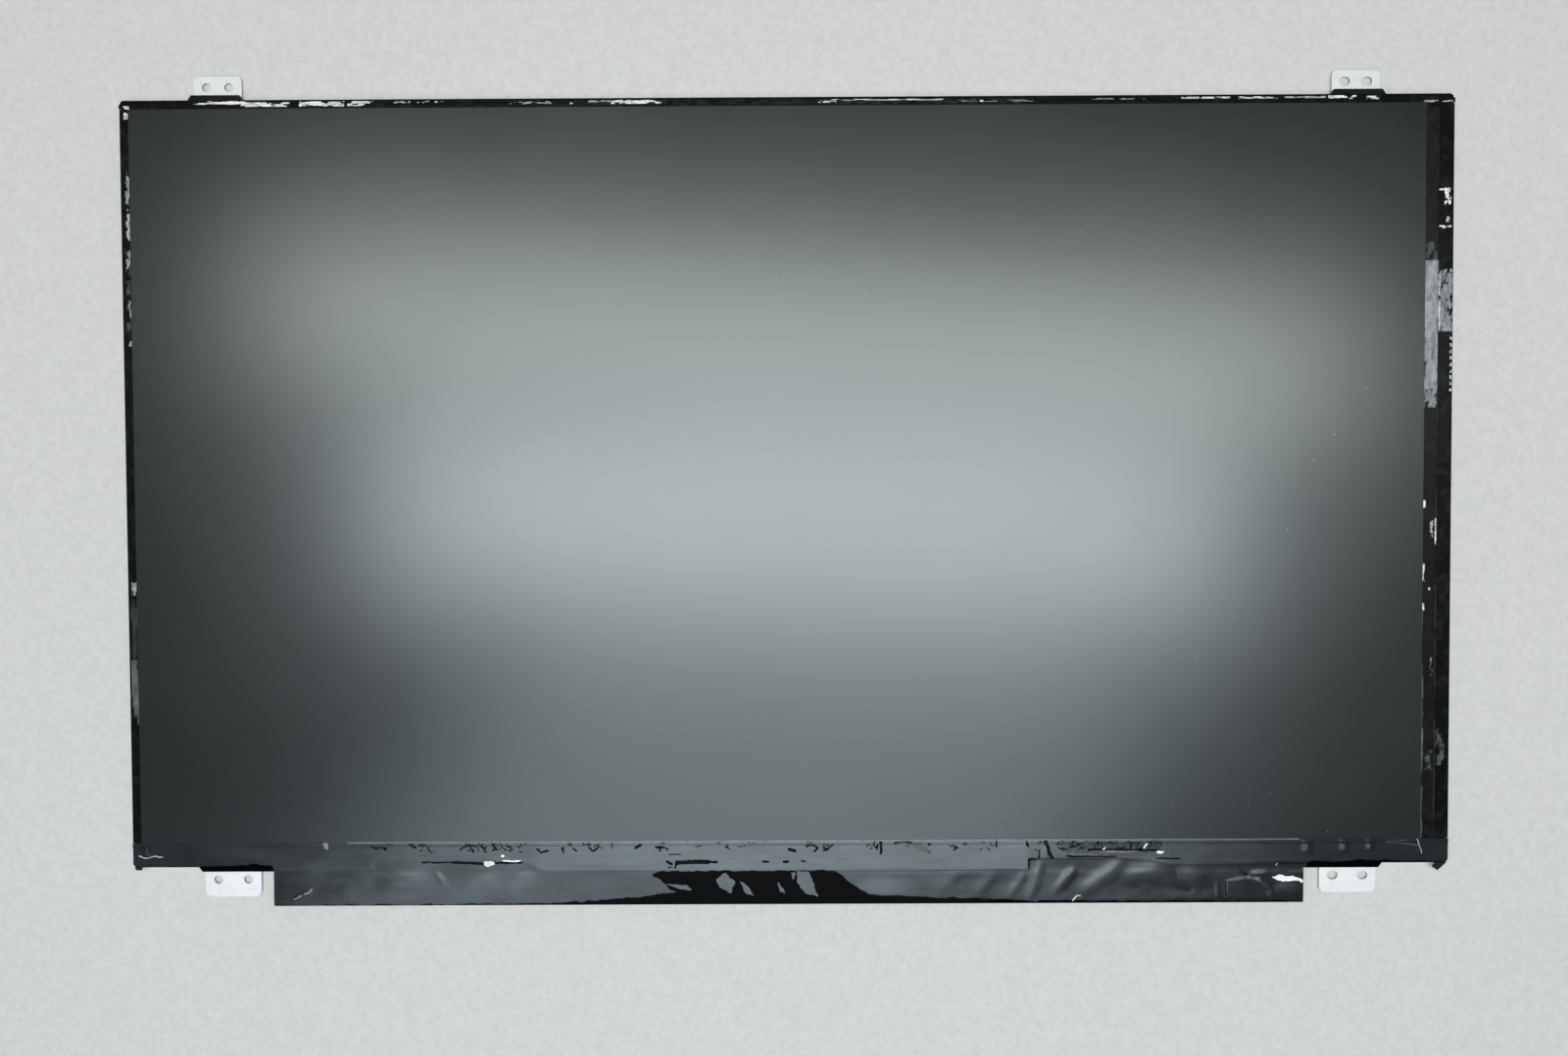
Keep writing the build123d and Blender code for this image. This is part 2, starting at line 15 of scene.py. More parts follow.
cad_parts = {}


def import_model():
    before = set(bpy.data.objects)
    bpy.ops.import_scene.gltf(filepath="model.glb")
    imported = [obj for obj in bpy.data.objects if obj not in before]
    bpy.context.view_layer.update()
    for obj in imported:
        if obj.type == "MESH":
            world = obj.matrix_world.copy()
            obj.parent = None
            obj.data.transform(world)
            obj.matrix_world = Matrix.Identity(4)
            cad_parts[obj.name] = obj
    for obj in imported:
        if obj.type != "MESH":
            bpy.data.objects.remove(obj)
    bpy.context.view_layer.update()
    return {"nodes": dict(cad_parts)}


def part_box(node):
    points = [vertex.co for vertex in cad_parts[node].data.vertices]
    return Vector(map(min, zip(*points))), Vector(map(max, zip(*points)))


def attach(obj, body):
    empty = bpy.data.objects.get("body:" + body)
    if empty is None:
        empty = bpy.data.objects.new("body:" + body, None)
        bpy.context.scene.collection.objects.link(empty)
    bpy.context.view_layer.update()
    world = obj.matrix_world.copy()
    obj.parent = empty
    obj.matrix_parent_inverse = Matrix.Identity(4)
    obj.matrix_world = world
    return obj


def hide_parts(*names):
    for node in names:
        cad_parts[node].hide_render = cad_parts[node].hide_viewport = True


LOG = logging.getLogger("screen_panel")
MILLIMETRE = 0.001
UP = np.array([0.0, 0.0, 1.0])
HALF_TURN = (0.0, 0.0, math.pi)
SHARP_ANGLE = math.radians(42.0)
PATCH_SINK = 0.004
LATTICE = 256
LATTICE_SHIFT = 400.5
LOOKING_RAYS = ("Is Camera Ray", "Is Glossy Ray", "Is Transmission Ray")
BEAD_SEED, SPECK_SEED, PAD_SEED = 51, 64, 27
SLACK_SEED, FINE_SEED, LAYER_SEED, SMEAR_SEED, RAG_SEED = 71, 72, 73, 81, 83
MARK_SEED, PATCH_SEED, TORN_SEED, CRAZE_SEED = 91, 92, 95, 97

Point = tuple[float, float]
Points = tuple[Point, ...]
Colour = tuple[float, float, float]
Box = tuple[float, float, float, float]
Grid = np.ndarray


class Value:
    """A value in a node tree, with the arithmetic that the finishes are written in."""

    def __init__(self, tree: Tree, socket: bpy.types.NodeSocket) -> None:
        """Keep the tree and the socket that gives the value."""
        self.tree = tree
        self.socket = socket

    def _math(self, operation: str, first: Any, second: Any) -> Value:
        """Add one Math node.

        Args:
            operation: The node's operation.
            first: A value or a number.
            second: A value or a number.

        Returns:
            The node's result.
        """
        node = self.tree.node("ShaderNodeMath", {"operation": operation}, {0: first, 1: second})
        return Value(self.tree, node.outputs[0])

    def __add__(self, other: Any) -> Value:
        """Sum of two values."""
        return self._math("ADD", self, other)

    __radd__ = __add__

    def __sub__(self, other: Any) -> Value:
        """Difference of two values."""
        return self._math("SUBTRACT", self, other)

    def __rsub__(self, other: Any) -> Value:
        """Difference of a number and a value."""
        return self._math("SUBTRACT", other, self)

    def __mul__(self, other: Any) -> Value:
        """Product of two values."""
        return self._math("MULTIPLY", self, other)

    __rmul__ = __mul__

    def at_most(self, other: Any) -> Value:
        """The smaller of two values."""
        return self._math("MINIMUM", self, other)


class Tree:
    """A node tree that is built by name."""

    def __init__(self, tree: bpy.types.NodeTree) -> None:
        """Start from an empty tree."""
        self.tree = tree
        self.tree.nodes.clear()

    @staticmethod
    def socket(sockets: Any, key: int | str) -> bpy.types.NodeSocket:
        """Find a socket by its place, its identifier or its name.

        Args:
            sockets: The sockets of a node.
            key: Place, identifier or name.

        Returns:
            The socket.
        """
        if isinstance(key, int):
            return sockets[key]
        return next((one for one in sockets if one.identifier == key), None) or sockets[key]

    def node(self, kind: str, settings: dict[str, Any] | None = None,
             inputs: dict[int | str, Any] | None = None) -> bpy.types.Node:
        """Add a node of any type.

        Args:
            kind: The node's type.
            settings: Its properties.
            inputs: Values or links of its sockets.

        Returns:
            The new node.
        """
        made = self.tree.nodes.new(kind)
        for name, setting in (settings or {}).items():
            setattr(made, name, setting)
        for key, given in (inputs or {}).items():
            socket = self.socket(made.inputs, key)
            if isinstance(given, Value):
                self.tree.links.new(given.socket, socket)
            else:
                socket.default_value = given
        return made

    def value(self, kind: str, settings: dict[str, Any] | None = None,
              inputs: dict[int | str, Any] | None = None, output: int | str = 0) -> Value:
        """Add a node and take one of its outputs as a value."""
        made = self.node(kind, settings, inputs)
        return Value(self, self.socket(made.outputs, output))

    def looked_at(self) -> Value:
        """Tell the rays that look at things from those that only carry light.

        Returns:
            1 for a ray that looks at something, 0 for another.
        """
        path = self.node("ShaderNodeLightPath")
        looks = [Value(self, path.outputs[name]) for name in LOOKING_RAYS]
        return (looks[0] + looks[1] + looks[2]).at_most(1.0)


class Shader(Tree):
    """The node tree of one material."""

    def __init__(self, name: str) -> None:
        """Make an empty material.

        Args:
            name: Name of the material.
        """
        self.material = bpy.data.materials.new(name)
        self.material.use_nodes = True
        super().__init__(self.material.node_tree)
        self.place = self.value("ShaderNodeTexCoord", output="Object")

    def noise(self, size: float, detail: float = 2.0, stretch: Colour = (1.0, 1.0, 1.0)) -> Value:
        """Cloudy noise.

        Args:
            size: Size of its lumps in millimetres.
            detail: Number of finer layers.
            stretch: How much longer than that size the lumps are along each axis.

        Returns:
            A value from 0 to 1, about 0.5 on average.
        """
        scale = tuple(1.0 / along for along in stretch)
        place = self.value("ShaderNodeMapping", inputs={"Vector": self.place, "Scale": scale})
        return self.value("ShaderNodeTexNoise", inputs={
            "Vector": place, "Scale": 1.0 / (size * MILLIMETRE), "Detail": detail}, output="Fac")

    def step(self, given: Value, low: float, high: float) -> Value:
        """A smooth step from 0 at one value to 1 at another."""
        return self.value("ShaderNodeMapRange", {"interpolation_type": "SMOOTHSTEP"},
                          {"Value": given, "From Min": low, "From Max": high}, "Result")

    def blend(self, factor: Value, first: Colour | Value, second: Colour | Value) -> Value:
        """A mix of two colours.

        Args:
            factor: 0 for the first colour, 1 for the second.
            first: A colour or a value.
            second: A colour or a value.

        Returns:
            The mixed colour.
        """
        ends = [end if isinstance(end, Value) else (*end, 1.0) for end in (first, second)]
        return self.value("ShaderNodeMix", {"data_type": "RGBA"},
                          {"Factor_Float": factor, "A_Color": ends[0], "B_Color": ends[1]}, "Result_Color")

    def attribute(self, name: str) -> Value:
        """A value that was laid down on the mesh."""
        return self.value("ShaderNodeAttribute", {"attribute_name": name}, output="Fac")

    def bump(self, height: Value, depth: float) -> Value:
        """Small relief; depth is how high a value of 1 stands, in millimetres."""
        return self.value("ShaderNodeBump", inputs={
            "Height": height, "Distance": depth * MILLIMETRE, "Strength": 1.0}, output="Normal")

    def skin(self, **sockets: Any) -> Value:
        """One skin of the surface.

        Args:
            sockets: Inputs of the surface shader, with _ for a space in their names.

        Returns:
            The skin.
        """
        inputs = {name.replace("_", " "): given for name, given in sockets.items()}
        base = inputs.get("Base Color")
        if base is not None and not isinstance(base, Value):
            inputs["Base Color"] = (*base, 1.0)
        return self.value("ShaderNodeBsdfPrincipled", inputs=inputs, output="BSDF")

    def over(self, share: Value, under: Value, upper: Value) -> Value:
        """One skin over a share of another."""
        return self.value("ShaderNodeMixShader", inputs={0: share, 1: under, 2: upper})

    def output(self, skin: Value) -> bpy.types.Material:
        """Finish the material with a skin."""
        self.node("ShaderNodeOutputMaterial", inputs={"Surface": skin})
        return self.material

    def surface(self, **sockets: Any) -> bpy.types.Material:
        """Finish the material with a single skin, described as in skin."""
        return self.output(self.skin(**sockets))


@dataclass(frozen=True)
class Finish:
    """A finish, and the material slot of the record that it belongs to."""

    name: str
    slot: str

    def material(self) -> bpy.types.Material:
        """The finish as a material, made when it is first asked for."""
        return bpy.data.materials.get(self.name) or self.make(Shader(self.name))

    def make(self, shader: Shader) -> bpy.types.Material:
        """Build the material; each kind of finish has its own way."""
        raise NotImplementedError


@dataclass(frozen=True)
class Grained(Finish):
    """A plain stuff with a fine grain: mouldings, ceramics, foams and plated metal."""

    dark: Colour
    light: Colour
    grain: float = 0.25
    clouds: float = 6.0
    roughness: float = 0.45
    spread: float = 0.12
    depth: float = 0.004
    metallic: float = 0.0
    specular: float = 0.5

    def make(self, shader: Shader) -> bpy.types.Material:
        """Colour and gloss that drift over the surface, with a fine relief.

        Args:
            shader: The empty material.

        Returns:
            The material.
        """
        drift = shader.noise(self.clouds, 3.0)
        grain = shader.noise(self.grain, 2.0)
        colour = shader.blend(shader.step(0.6 * drift + 0.4 * grain, 0.3, 0.7), self.dark, self.light)
        return shader.surface(
            Base_Color=colour, Metallic=self.metallic, Specular_IOR_Level=self.specular,
            Roughness=self.roughness + self.spread * (drift - 0.5) + self.spread * (grain - 0.5),
            Normal=shader.bump(grain, self.depth))


@dataclass(frozen=True)
class RolledMetal(Finish):
    """Rolled and passivated sheet metal with a faint mottle and fine rolling lines."""

    dark: Colour = (0.57, 0.575, 0.58)
    light: Colour = (0.66, 0.665, 0.67)
    roughness: float = 0.55

    def make(self, shader: Shader) -> bpy.types.Material:
        """Mottle at two sizes under lines that run along the sheet.

        Args:
            shader: The empty material.

        Returns:
            The material.
        """
        mottle = shader.noise(2.2, 4.0)
        clouds = shader.noise(28.0, 3.0)
        lines = shader.noise(0.18, 2.0, (160.0, 1.0, 1.0))
        tone = shader.step(0.45 * mottle + 0.3 * clouds + 0.25 * lines, 0.32, 0.62)
        return shader.surface(
            Base_Color=shader.blend(tone, self.dark, self.light), Metallic=1.0,
            Roughness=self.roughness + 0.10 * (mottle - 0.5) + 0.06 * (lines - 0.5),
            Normal=shader.bump(0.7 * lines + 0.3 * mottle, 0.0008))


@dataclass(frozen=True)
class TapeSkin(Finish):
    """Black tape: dull film where it is hazed, bare and glossy where the film has come off, and near-black as
    painted shadow where the board tape's lower corners are laid as bare tape.
    """

    black: Colour = (0.0030, 0.0036, 0.0041)
    haze: Colour = (0.19, 0.222, 0.243)
    roughness: float = 0.24
    specular: float = 0.34

    def make(self, shader: Shader) -> bpy.types.Material:
        """Mix the film and the bare tape under it by what was laid down on the mesh.

        Args:
            shader: The empty material.

        Returns:
            The material.
        """
        haze = shader.attribute("haze")
        # The gloss value marks the peeled, bare tape, and also the bands of painted shadow along the board
        # tape's lower corners.
        bare = shader.step(shader.attribute("gloss"), 0.42, 0.58)
        smear = shader.noise(3.0, 4.0, (3.0, 1.0, 1.0))
        lines = shader.noise(0.5, 2.0, (45.0, 1.0, 1.0))
        grain = shader.noise(0.22, 2.0)
        dusty = (haze * (0.55 + 0.5 * smear + 0.4 * lines)).at_most(1.0)
        film = shader.skin(
            Base_Color=shader.blend(dusty, self.black, self.haze), Specular_IOR_Level=self.specular,
            Roughness=self.roughness + 0.1 * (smear - 0.5) + 0.08 * (grain - 0.5) + 0.2 * haze,
            Specular_Tint=(0.88, 0.975, 1.0, 1.0), Normal=shader.bump(grain, 0.002))
        under = shader.skin(Base_Color=(0.0014, 0.0014, 0.0016), Roughness=0.03 + 0.05 * smear,
                            Specular_IOR_Level=0.02)
        return shader.output(shader.over(bare, film, under))


@dataclass(frozen=True)
class ScreenSkin(Finish):
    """Anti-glare film over a switched-off screen."""

    deep: Colour = (0.0045, 0.0062, 0.0068)
    dusty: Colour = (0.0095, 0.0125, 0.0135)
    roughness: float = 0.22

    def make(self, shader: Shader) -> bpy.types.Material:
        """A fine frosting, and a little dust in drifts.

        Args:
            shader: The empty material.

        Returns:
            The material.
        """
        frost = shader.noise(0.12, 2.0)
        drift = shader.noise(45.0, 3.0)
        specks = shader.step(shader.noise(1.1, 1.0), 0.66, 0.74)
        dust = shader.step(drift, 0.35, 0.75) * (0.35 + 0.65 * specks)
        return shader.surface(
            Base_Color=shader.blend(dust, self.deep, self.dusty),
            Roughness=self.roughness + 0.03 * (drift - 0.5) + 0.03 * (frost - 0.5), IOR=1.6,
            Specular_Tint=(0.90, 0.99, 1.0, 1.0), Normal=shader.bump(frost, 0.0004))


@dataclass(frozen=True)
class Ribbed(Finish):
    """Clear film with fine parallel prisms."""

    tint: Colour = (0.78, 0.80, 0.82)
    pitch: float = 0.3
    across: str = "Y"

    def make(self, shader: Shader) -> bpy.types.Material:
        """Triangular ribs as relief.

        Args:
            shader: The empty material.

        Returns:
            The material.
        """
        ribs = shader.value("ShaderNodeTexWave", {"bands_direction": self.across, "wave_profile": "TRI"},
                            {"Vector": shader.place, "Scale": 0.5 / (self.pitch * MILLIMETRE)}, "Fac")
        drift = shader.noise(20.0)
        return shader.surface(
            Base_Color=shader.blend(drift, self.tint, (0.9, 0.91, 0.92)),
            Roughness=0.18 + 0.1 * drift, Normal=shader.bump(ribs, 0.02))


@dataclass(frozen=True)
class Traced(Finish):
    """A printed sheet, laminate or flexible film, with rows of conductors under its coat."""

    coat: Colour
    conductor: Colour
    pitch: float = 0.9
    roughness: float = 0.34

    def make(self, shader: Shader) -> bpy.types.Material:
        """Conductors in broken rows between solid areas, with plated holes, seen through the coat; the middle
        of each hole is painted shade.

        Args:
            shader: The empty material.

        Returns:
            The material.
        """
        gaps = shader.value("ShaderNodeTexBrick", {"offset": 0.37}, {
            "Vector": shader.place, "Scale": 1.0 / (self.pitch * MILLIMETRE), "Mortar Size": 0.13,
            "Brick Width": 9.0, "Row Height": 0.5}, "Fac")
        weave = shader.noise(0.35, 2.0)
        drift = shader.noise(9.0, 3.0)
        solid = shader.step(shader.noise(5.0, 1.0, (2.5, 1.0, 1.0)), 0.49, 0.51)
        bare = shader.step(shader.noise(7.0, 1.0, (1.6, 1.0, 1.0)), 0.55, 0.57)
        runs = (1 - gaps * (1 - solid)) * (1 - bare)
        hole = shader.value("ShaderNodeTexVoronoi", {"feature": "F1"}, {
            "Vector": shader.place, "Scale": 0.42 / (self.pitch * MILLIMETRE)}, "Distance")
        ring = 1 - shader.step(hole, 0.10, 0.12)
        # A near-black dot at the middle of each plated hole: painted shade inside the hole.
        hole_shade = 1 - shader.step(hole, 0.04, 0.05)
        coat = shader.blend(drift, self.coat, tuple(0.6 * part for part in self.coat))
        printed = shader.blend(0.8 * runs, coat, self.conductor)
        plated = shader.blend(0.7 * ring, printed, tuple(1.7 * part for part in self.conductor))
        return shader.surface(
            Base_Color=shader.blend(0.85 * hole_shade, plated, (0.012, 0.012, 0.012)),
            Roughness=self.roughness + 0.1 * (weave - 0.5),
            Normal=shader.bump(0.3 * weave + 0.7 * runs + 0.4 * ring - hole_shade, 0.008))


@dataclass(frozen=True)
class Adhesive(Finish):
    """Whitish scraps of old adhesive and torn backing, also used for painted highlight lines and glints."""

    bright: Colour = (0.84, 0.84, 0.82)
    soiled: Colour = (0.34, 0.35, 0.35)
    roughness: float = 0.42
    painted: bool = False

    def make(self, shader: Shader) -> bpy.types.Material:
        """Stringy pale and soiled streaks.

        Args:
            shader: The empty material.

        Returns:
            The material.
        """
        streaks = shader.noise(0.5, 3.0, (3.0, 1.0, 1.0))
        clouds = shader.noise(4.0, 2.0)
        tone = shader.step(0.6 * streaks + 0.4 * clouds, 0.36, 0.56)
        colour = shader.blend(tone, self.soiled, self.bright)
        if self.painted:
            colour = shader.blend(shader.attribute("tone"), (0.015, 0.016, 0.017), colour)
        return shader.surface(
            Base_Color=colour,
            Roughness=self.roughness + 0.2 * (streaks - 0.5), Normal=shader.bump(streaks, 0.02))


@dataclass(frozen=True)
class PaleFloor(Finish):
    """A plain pale floor that is seen evenly pale out of the reach of the lights."""

    dark: Colour = (0.585, 0.585, 0.575)
    light: Colour = (0.635, 0.635, 0.62)
    seen: Colour = (0.655, 0.668, 0.662)
    horizon: Colour = (0.79, 0.797, 0.80)
    lit: Point = (0.27, 0.6)
    reach: Point = (0.8, 4.0)

    def make(self, shader: Shader) -> bpy.types.Material:
        """A faint grain near the panel, and a plain glow for what looks at the far floor.

        Args:
            shader: The empty material.

        Returns:
            The material.
        """
        grain = shader.noise(1.6, 2.0)
        near = shader.skin(Base_Color=shader.blend(shader.step(grain, 0.3, 0.7), self.dark, self.light),
                           Roughness=0.75 + 0.1 * (grain - 0.5))
        away = shader.value("ShaderNodeVectorMath", {"operation": "LENGTH"}, {0: shader.place}, "Value")
        seen = shader.looked_at()
        pale = shader.blend(shader.step(away, *self.reach), self.seen, self.horizon)
        glow = shader.value("ShaderNodeEmission", inputs={"Color": pale, "Strength": 1.0})
        return shader.output(shader.over(seen * shader.step(away, *self.lit), near, glow))


@dataclass(frozen=True)
class Pane(Finish):
    """Clear plates; a tint close to black is the glass of a dark cell."""

    tint: Colour = (0.02, 0.026, 0.026)
    clear: float = 0.0

    def make(self, shader: Shader) -> bpy.types.Material:
        """Smooth, with faint polishing marks.

        Args:
            shader: The empty material.

        Returns:
            The material.
        """
        marks = shader.noise(5.0, 3.0)
        return shader.surface(
            Base_Color=shader.blend(marks, self.tint, tuple(0.85 * part for part in self.tint)),
            Roughness=0.05 + 0.06 * marks, IOR=1.5, Transmission_Weight=self.clear)


COVER_METAL = RolledMetal("rolled cover metal", "cover_metal")
SHELL_STEEL = RolledMetal(
    "receptacle shell steel", "connector_steel", (0.52, 0.53, 0.54), (0.74, 0.75, 0.76), roughness=0.3)
FRAME_PLASTIC = Grained(
    "black frame moulding", "frame_plastic", (0.0024, 0.0025, 0.0028), (0.0055, 0.0056, 0.006), grain=0.3,
    clouds=9.0, roughness=0.34, spread=0.1, specular=0.13)
EDGE_TAPE = TapeSkin(
    "black edge tape", "edge_tape", (0.0016, 0.0019, 0.0022), (0.36, 0.375, 0.385), roughness=0.2,
    specular=0.14)
BOARD_TAPE = TapeSkin("black board tape", "board_tape")
SCREEN_FILM = ScreenSkin("anti-glare screen film", "screen_film")
# Pale patches of old adhesive; on the right tape a few hairline ones paint highlight lines along its edges.
RESIDUE_AND_HIGHLIGHTS = Adhesive("old adhesive and painted highlight lines", "foam_tape", painted=True)
# Bright patches: torn backing where the tape is holed, and painted glints on folds and wrinkles of the tape.
TORN_AND_GLINTS = Adhesive("white torn backing and painted glints", "foam_tape", (0.9, 0.9, 0.88), (0.66, 0.66, 0.65), painted=True)
# Near-black patches that paint the shade inside tape cracks, along the steps of its layers and round the long
# tear.
CRACK_AND_STEP_SHADE = Grained(
    "painted shade in tape cracks and under its edges", "board_tape", (0.0012, 0.0012, 0.0013), (0.005, 0.005, 0.0052), grain=0.2,
    clouds=1.0, roughness=0.7, spread=0.2, depth=0.01, specular=0.1)
BARED_FILM = Adhesive(
    "bared driver film", "flex_film", (0.062, 0.062, 0.051), (0.028, 0.028, 0.023), roughness=0.5)
# Pale tint for the bead that paints the highlight along the screen film's lower edge.
EDGE_HIGHLIGHT_BEAD = Adhesive(
    "painted film edge highlight", "screen_film", (0.46, 0.50, 0.52), (0.22, 0.24, 0.25), roughness=0.35)
DUST = Adhesive("screen dust", "screen_film", (0.6, 0.6, 0.58), (0.3, 0.3, 0.3), roughness=0.7)
SOLDER = Grained(
    "tinned solder", "contact_plating", (0.55, 0.56, 0.57), (0.78, 0.79, 0.80), grain=0.2, clouds=1.2,
    roughness=0.36, spread=0.1, depth=0.0015, metallic=1.0)
CAPACITOR_BODY = Grained(
    "tan capacitor ceramic", "capacitor_ceramic", (0.20, 0.125, 0.07), (0.33, 0.22, 0.13), grain=0.12,
    clouds=1.0, roughness=0.4)
RESISTOR_BODY = Grained(
    "black resistor coat", "package_black", (0.010, 0.010, 0.011), (0.025, 0.025, 0.027), grain=0.12,
    clouds=0.8, roughness=0.3)
GOLD_PADS = Grained(
    "gold test pads", "contact_plating", (0.62, 0.42, 0.16), (0.86, 0.62, 0.28), grain=0.15, clouds=1.0,
    roughness=0.24, spread=0.1, depth=0.002, metallic=1.0)

NODE_FINISHES: dict[Finish, tuple[str, ...]] = {
    COVER_METAL: ("back_cover",),
    SHELL_STEEL: ("connector_shell",),
    FRAME_PLASTIC: ("mid_frame",),
    Grained(
        "white reflector", "white_film", (0.78, 0.78, 0.77), (0.90, 0.90, 0.89), grain=0.2, clouds=14.0,
        roughness=0.5, spread=0.08, depth=0.003): ("reflector_sheet", "diffuser_film"),
    Pane("clear light guide", "guide_acrylic", (0.90, 0.93, 0.92), 0.9): ("light_guide",),
    Ribbed("lower prisms", "prism_film", across="Y"): ("lower_prism_film",),
    Ribbed("upper prisms", "prism_film", across="X"): ("upper_prism_film",),
    Traced("amber flexible strip", "flex_film", (0.24, 0.10, 0.025), (0.46, 0.25, 0.09), pitch=0.8):
        ("led_strip", "driver_films"),
    Grained(
        "white lamp bodies", "lamp_body", (0.72, 0.71, 0.67), (0.88, 0.87, 0.82), grain=0.1, clouds=0.8,
        roughness=0.35): ("led_packages",),
    Grained(
        "black foam tape", "foam_tape", (0.010, 0.010, 0.010), (0.03, 0.03, 0.03), grain=0.15, clouds=2.0,
        roughness=0.8, spread=0.1, depth=0.03): ("cell_tape",),
    Grained(
        "dark rear polariser", "polariser_film", (0.012, 0.013, 0.014), (0.02, 0.021, 0.022), grain=0.3,
        clouds=20.0, roughness=0.3): ("rear_polariser",),
    Pane("cell glass", "cell_glass"): ("tft_glass", "colour_filter_glass"),
    SCREEN_FILM: ("front_polariser",),
    Grained(
        "bare silicon", "chip_silicon", (0.05, 0.055, 0.065), (0.10, 0.105, 0.12), grain=0.1, clouds=1.5,
        roughness=0.2, spread=0.08, depth=0.001): ("driver_chips",),
    Traced("green solder mask", "board_laminate", (0.010, 0.060, 0.030), (0.035, 0.13, 0.065)):
        ("driver_board",),
    Grained(
        "black chip moulding", "package_black", (0.011, 0.011, 0.012), (0.026, 0.026, 0.028), grain=0.12,
        clouds=2.0, roughness=0.5): ("timing_controller", "power_chip", "backlight_chip", "memory_chip"),
    Grained(
        "grey ferrite", "inductor_ferrite", (0.035, 0.034, 0.033), (0.085, 0.082, 0.08), grain=0.2,
        clouds=1.2, roughness=0.55, spread=0.1, depth=0.02): ("power_inductors",),
    Grained(
        "natural nylon", "connector_nylon", (0.50, 0.46, 0.37), (0.66, 0.61, 0.50), grain=0.15, clouds=2.0,
        roughness=0.42): ("connector_housing",),
    Grained(
        "plated contacts", "contact_plating", (0.60, 0.46, 0.22), (0.82, 0.66, 0.36), grain=0.1, clouds=0.8,
        roughness=0.26, spread=0.1, depth=0.002, metallic=1.0): ("connector_contacts",),
}


def each(kind: type[Any], *rows: tuple[Any, ...]) -> tuple[Any, ...]:
    """Make one thing of a kind from each row of values."""
    return tuple(kind(*row) for row in rows)


def corners_of(node: str) -> tuple[Grid, Grid]:
    """Lowest and highest corner of a CAD node, in millimetres."""
    low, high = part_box(node)
    return np.array(low) / MILLIMETRE, np.array(high) / MILLIMETRE


class Edge(Enum):
    """The sides of the panel, each with the direction that points out of it."""

    TOP = (0.0, 1.0)
    RIGHT = (1.0, 0.0)
    LEFT = (-1.0, 0.0)
    BOTTOM = (0.0, -1.0)

    @property
    def outward(self) -> np.ndarray:
        """Direction out of the panel."""
        return np.array([*self.value, 0.0])

    @property
    def along(self) -> np.ndarray:
        """Direction along the side, so that outward, along and up are right-handed."""
        return np.array([-self.value[1], self.value[0], 0.0])

    def extent(self, node: str) -> tuple[float, float, float, float]:
        """Inner and outer reach of a CAD node, and its two ends along the side, in millimetres.

        Args:
            node: Name of the node.

        Returns:
            Inner reach, outer reach, first end and last end.
        """
        corners = corners_of(node)
        reach = sorted(corner @ self.outward for corner in corners)
        ends = sorted(corner @ self.along for corner in corners)
        return reach[0], reach[1], ends[0], ends[1]


class Ripple:
    """Smooth seeded noise on a square lattice, for relief and for ragged outlines."""

    def __init__(self, seed: int, layers: int = 1) -> None:
        """Fill the lattices, one for each layer of detail."""
        draw = np.random.default_rng(seed)
        self.lattices = [draw.uniform(-1.0, 1.0, (LATTICE, LATTICE)) for _ in range(layers)]

    def at(self, x: Grid, y: Grid, length: float, width: float) -> Grid:
        """Read the noise.

        Args:
            x: Places along the first axis, in millimetres.
            y: Places along the second axis.
            length: Size of the lumps along the first axis.
            width: Size of the lumps along the second axis.

        Returns:
            Values from about -1 to 1.
        """
        total = np.zeros(np.broadcast(x, y).shape)
        for layer, lattice in enumerate(self.lattices):
            finer = 2.0 ** layer
            across, up = x * finer / length + LATTICE_SHIFT, y * finer / width + LATTICE_SHIFT
            total += self._layer(lattice, across, up) / finer
        return total

    @staticmethod
    def _layer(lattice: Grid, x: Grid, y: Grid) -> Grid:
        """One layer of the noise, blended smoothly between lattice points.

        Args:
            lattice: Values of the layer at whole places.
            x: Places along the first axis, in cells.
            y: Places along the second axis, in cells.

        Returns:
            Values from -1 to 1.
        """
        column, row = np.floor(x).astype(int), np.floor(y).astype(int)
        fine_x, fine_y = x - column, y - row
        fine_x, fine_y = fine_x ** 2 * (3 - 2 * fine_x), fine_y ** 2 * (3 - 2 * fine_y)
        column, row = column % (LATTICE - 1), row % (LATTICE - 1)
        low = lattice[column, row] * (1 - fine_x) + lattice[column + 1, row] * fine_x
        high = lattice[column, row + 1] * (1 - fine_x) + lattice[column + 1, row + 1] * fine_x
        return low * (1 - fine_y) + high * fine_y


def ease(given: Grid, low: float, high: float) -> Grid:
    """A smooth step from 0 at one value to 1 at another."""
    part = np.clip((given - low) / (high - low), 0.0, 1.0)
    return part ** 2 * (3 - 2 * part)


def inside(x: Grid, y: Grid, corners: Sequence[Point]) -> Grid:
    """Tell which places lie inside a closed outline.

    Args:
        x: Places along the first axis.
        y: Places along the second axis.
        corners: Corners of the outline, in order.

    Returns:
        True at the places inside.
    """
    found = np.zeros(np.broadcast(x, y).shape, bool)
    for (x0, y0), (x1, y1) in zip(corners, [*corners[1:], corners[0]]):
        if y0 != y1:
            crossing = (y0 > y) != (y1 > y)
            found ^= crossing & (x < (x1 - x0) * (y - y0) / (y1 - y0) + x0)
    return found


def line_distance(x: Grid, y: Grid, points: Sequence[Point]) -> Grid:
    """Measure how far places lie from a bent line.

    Args:
        x: Places along the first axis.
        y: Places along the second axis.
        points: The line's points, in order.

    Returns:
        The distance from each place to the line.
    """
    nearest = np.full(np.broadcast(x, y).shape, np.inf)
    for (x0, y0), (x1, y1) in zip(points, points[1:]):
        run_x, run_y = x1 - x0, y1 - y0
        share = np.clip(((x - x0) * run_x + (y - y0) * run_y) / (run_x ** 2 + run_y ** 2), 0.0, 1.0)
        nearest = np.minimum(nearest, np.hypot(x - x0 - share * run_x, y - y0 - share * run_y))
    return nearest


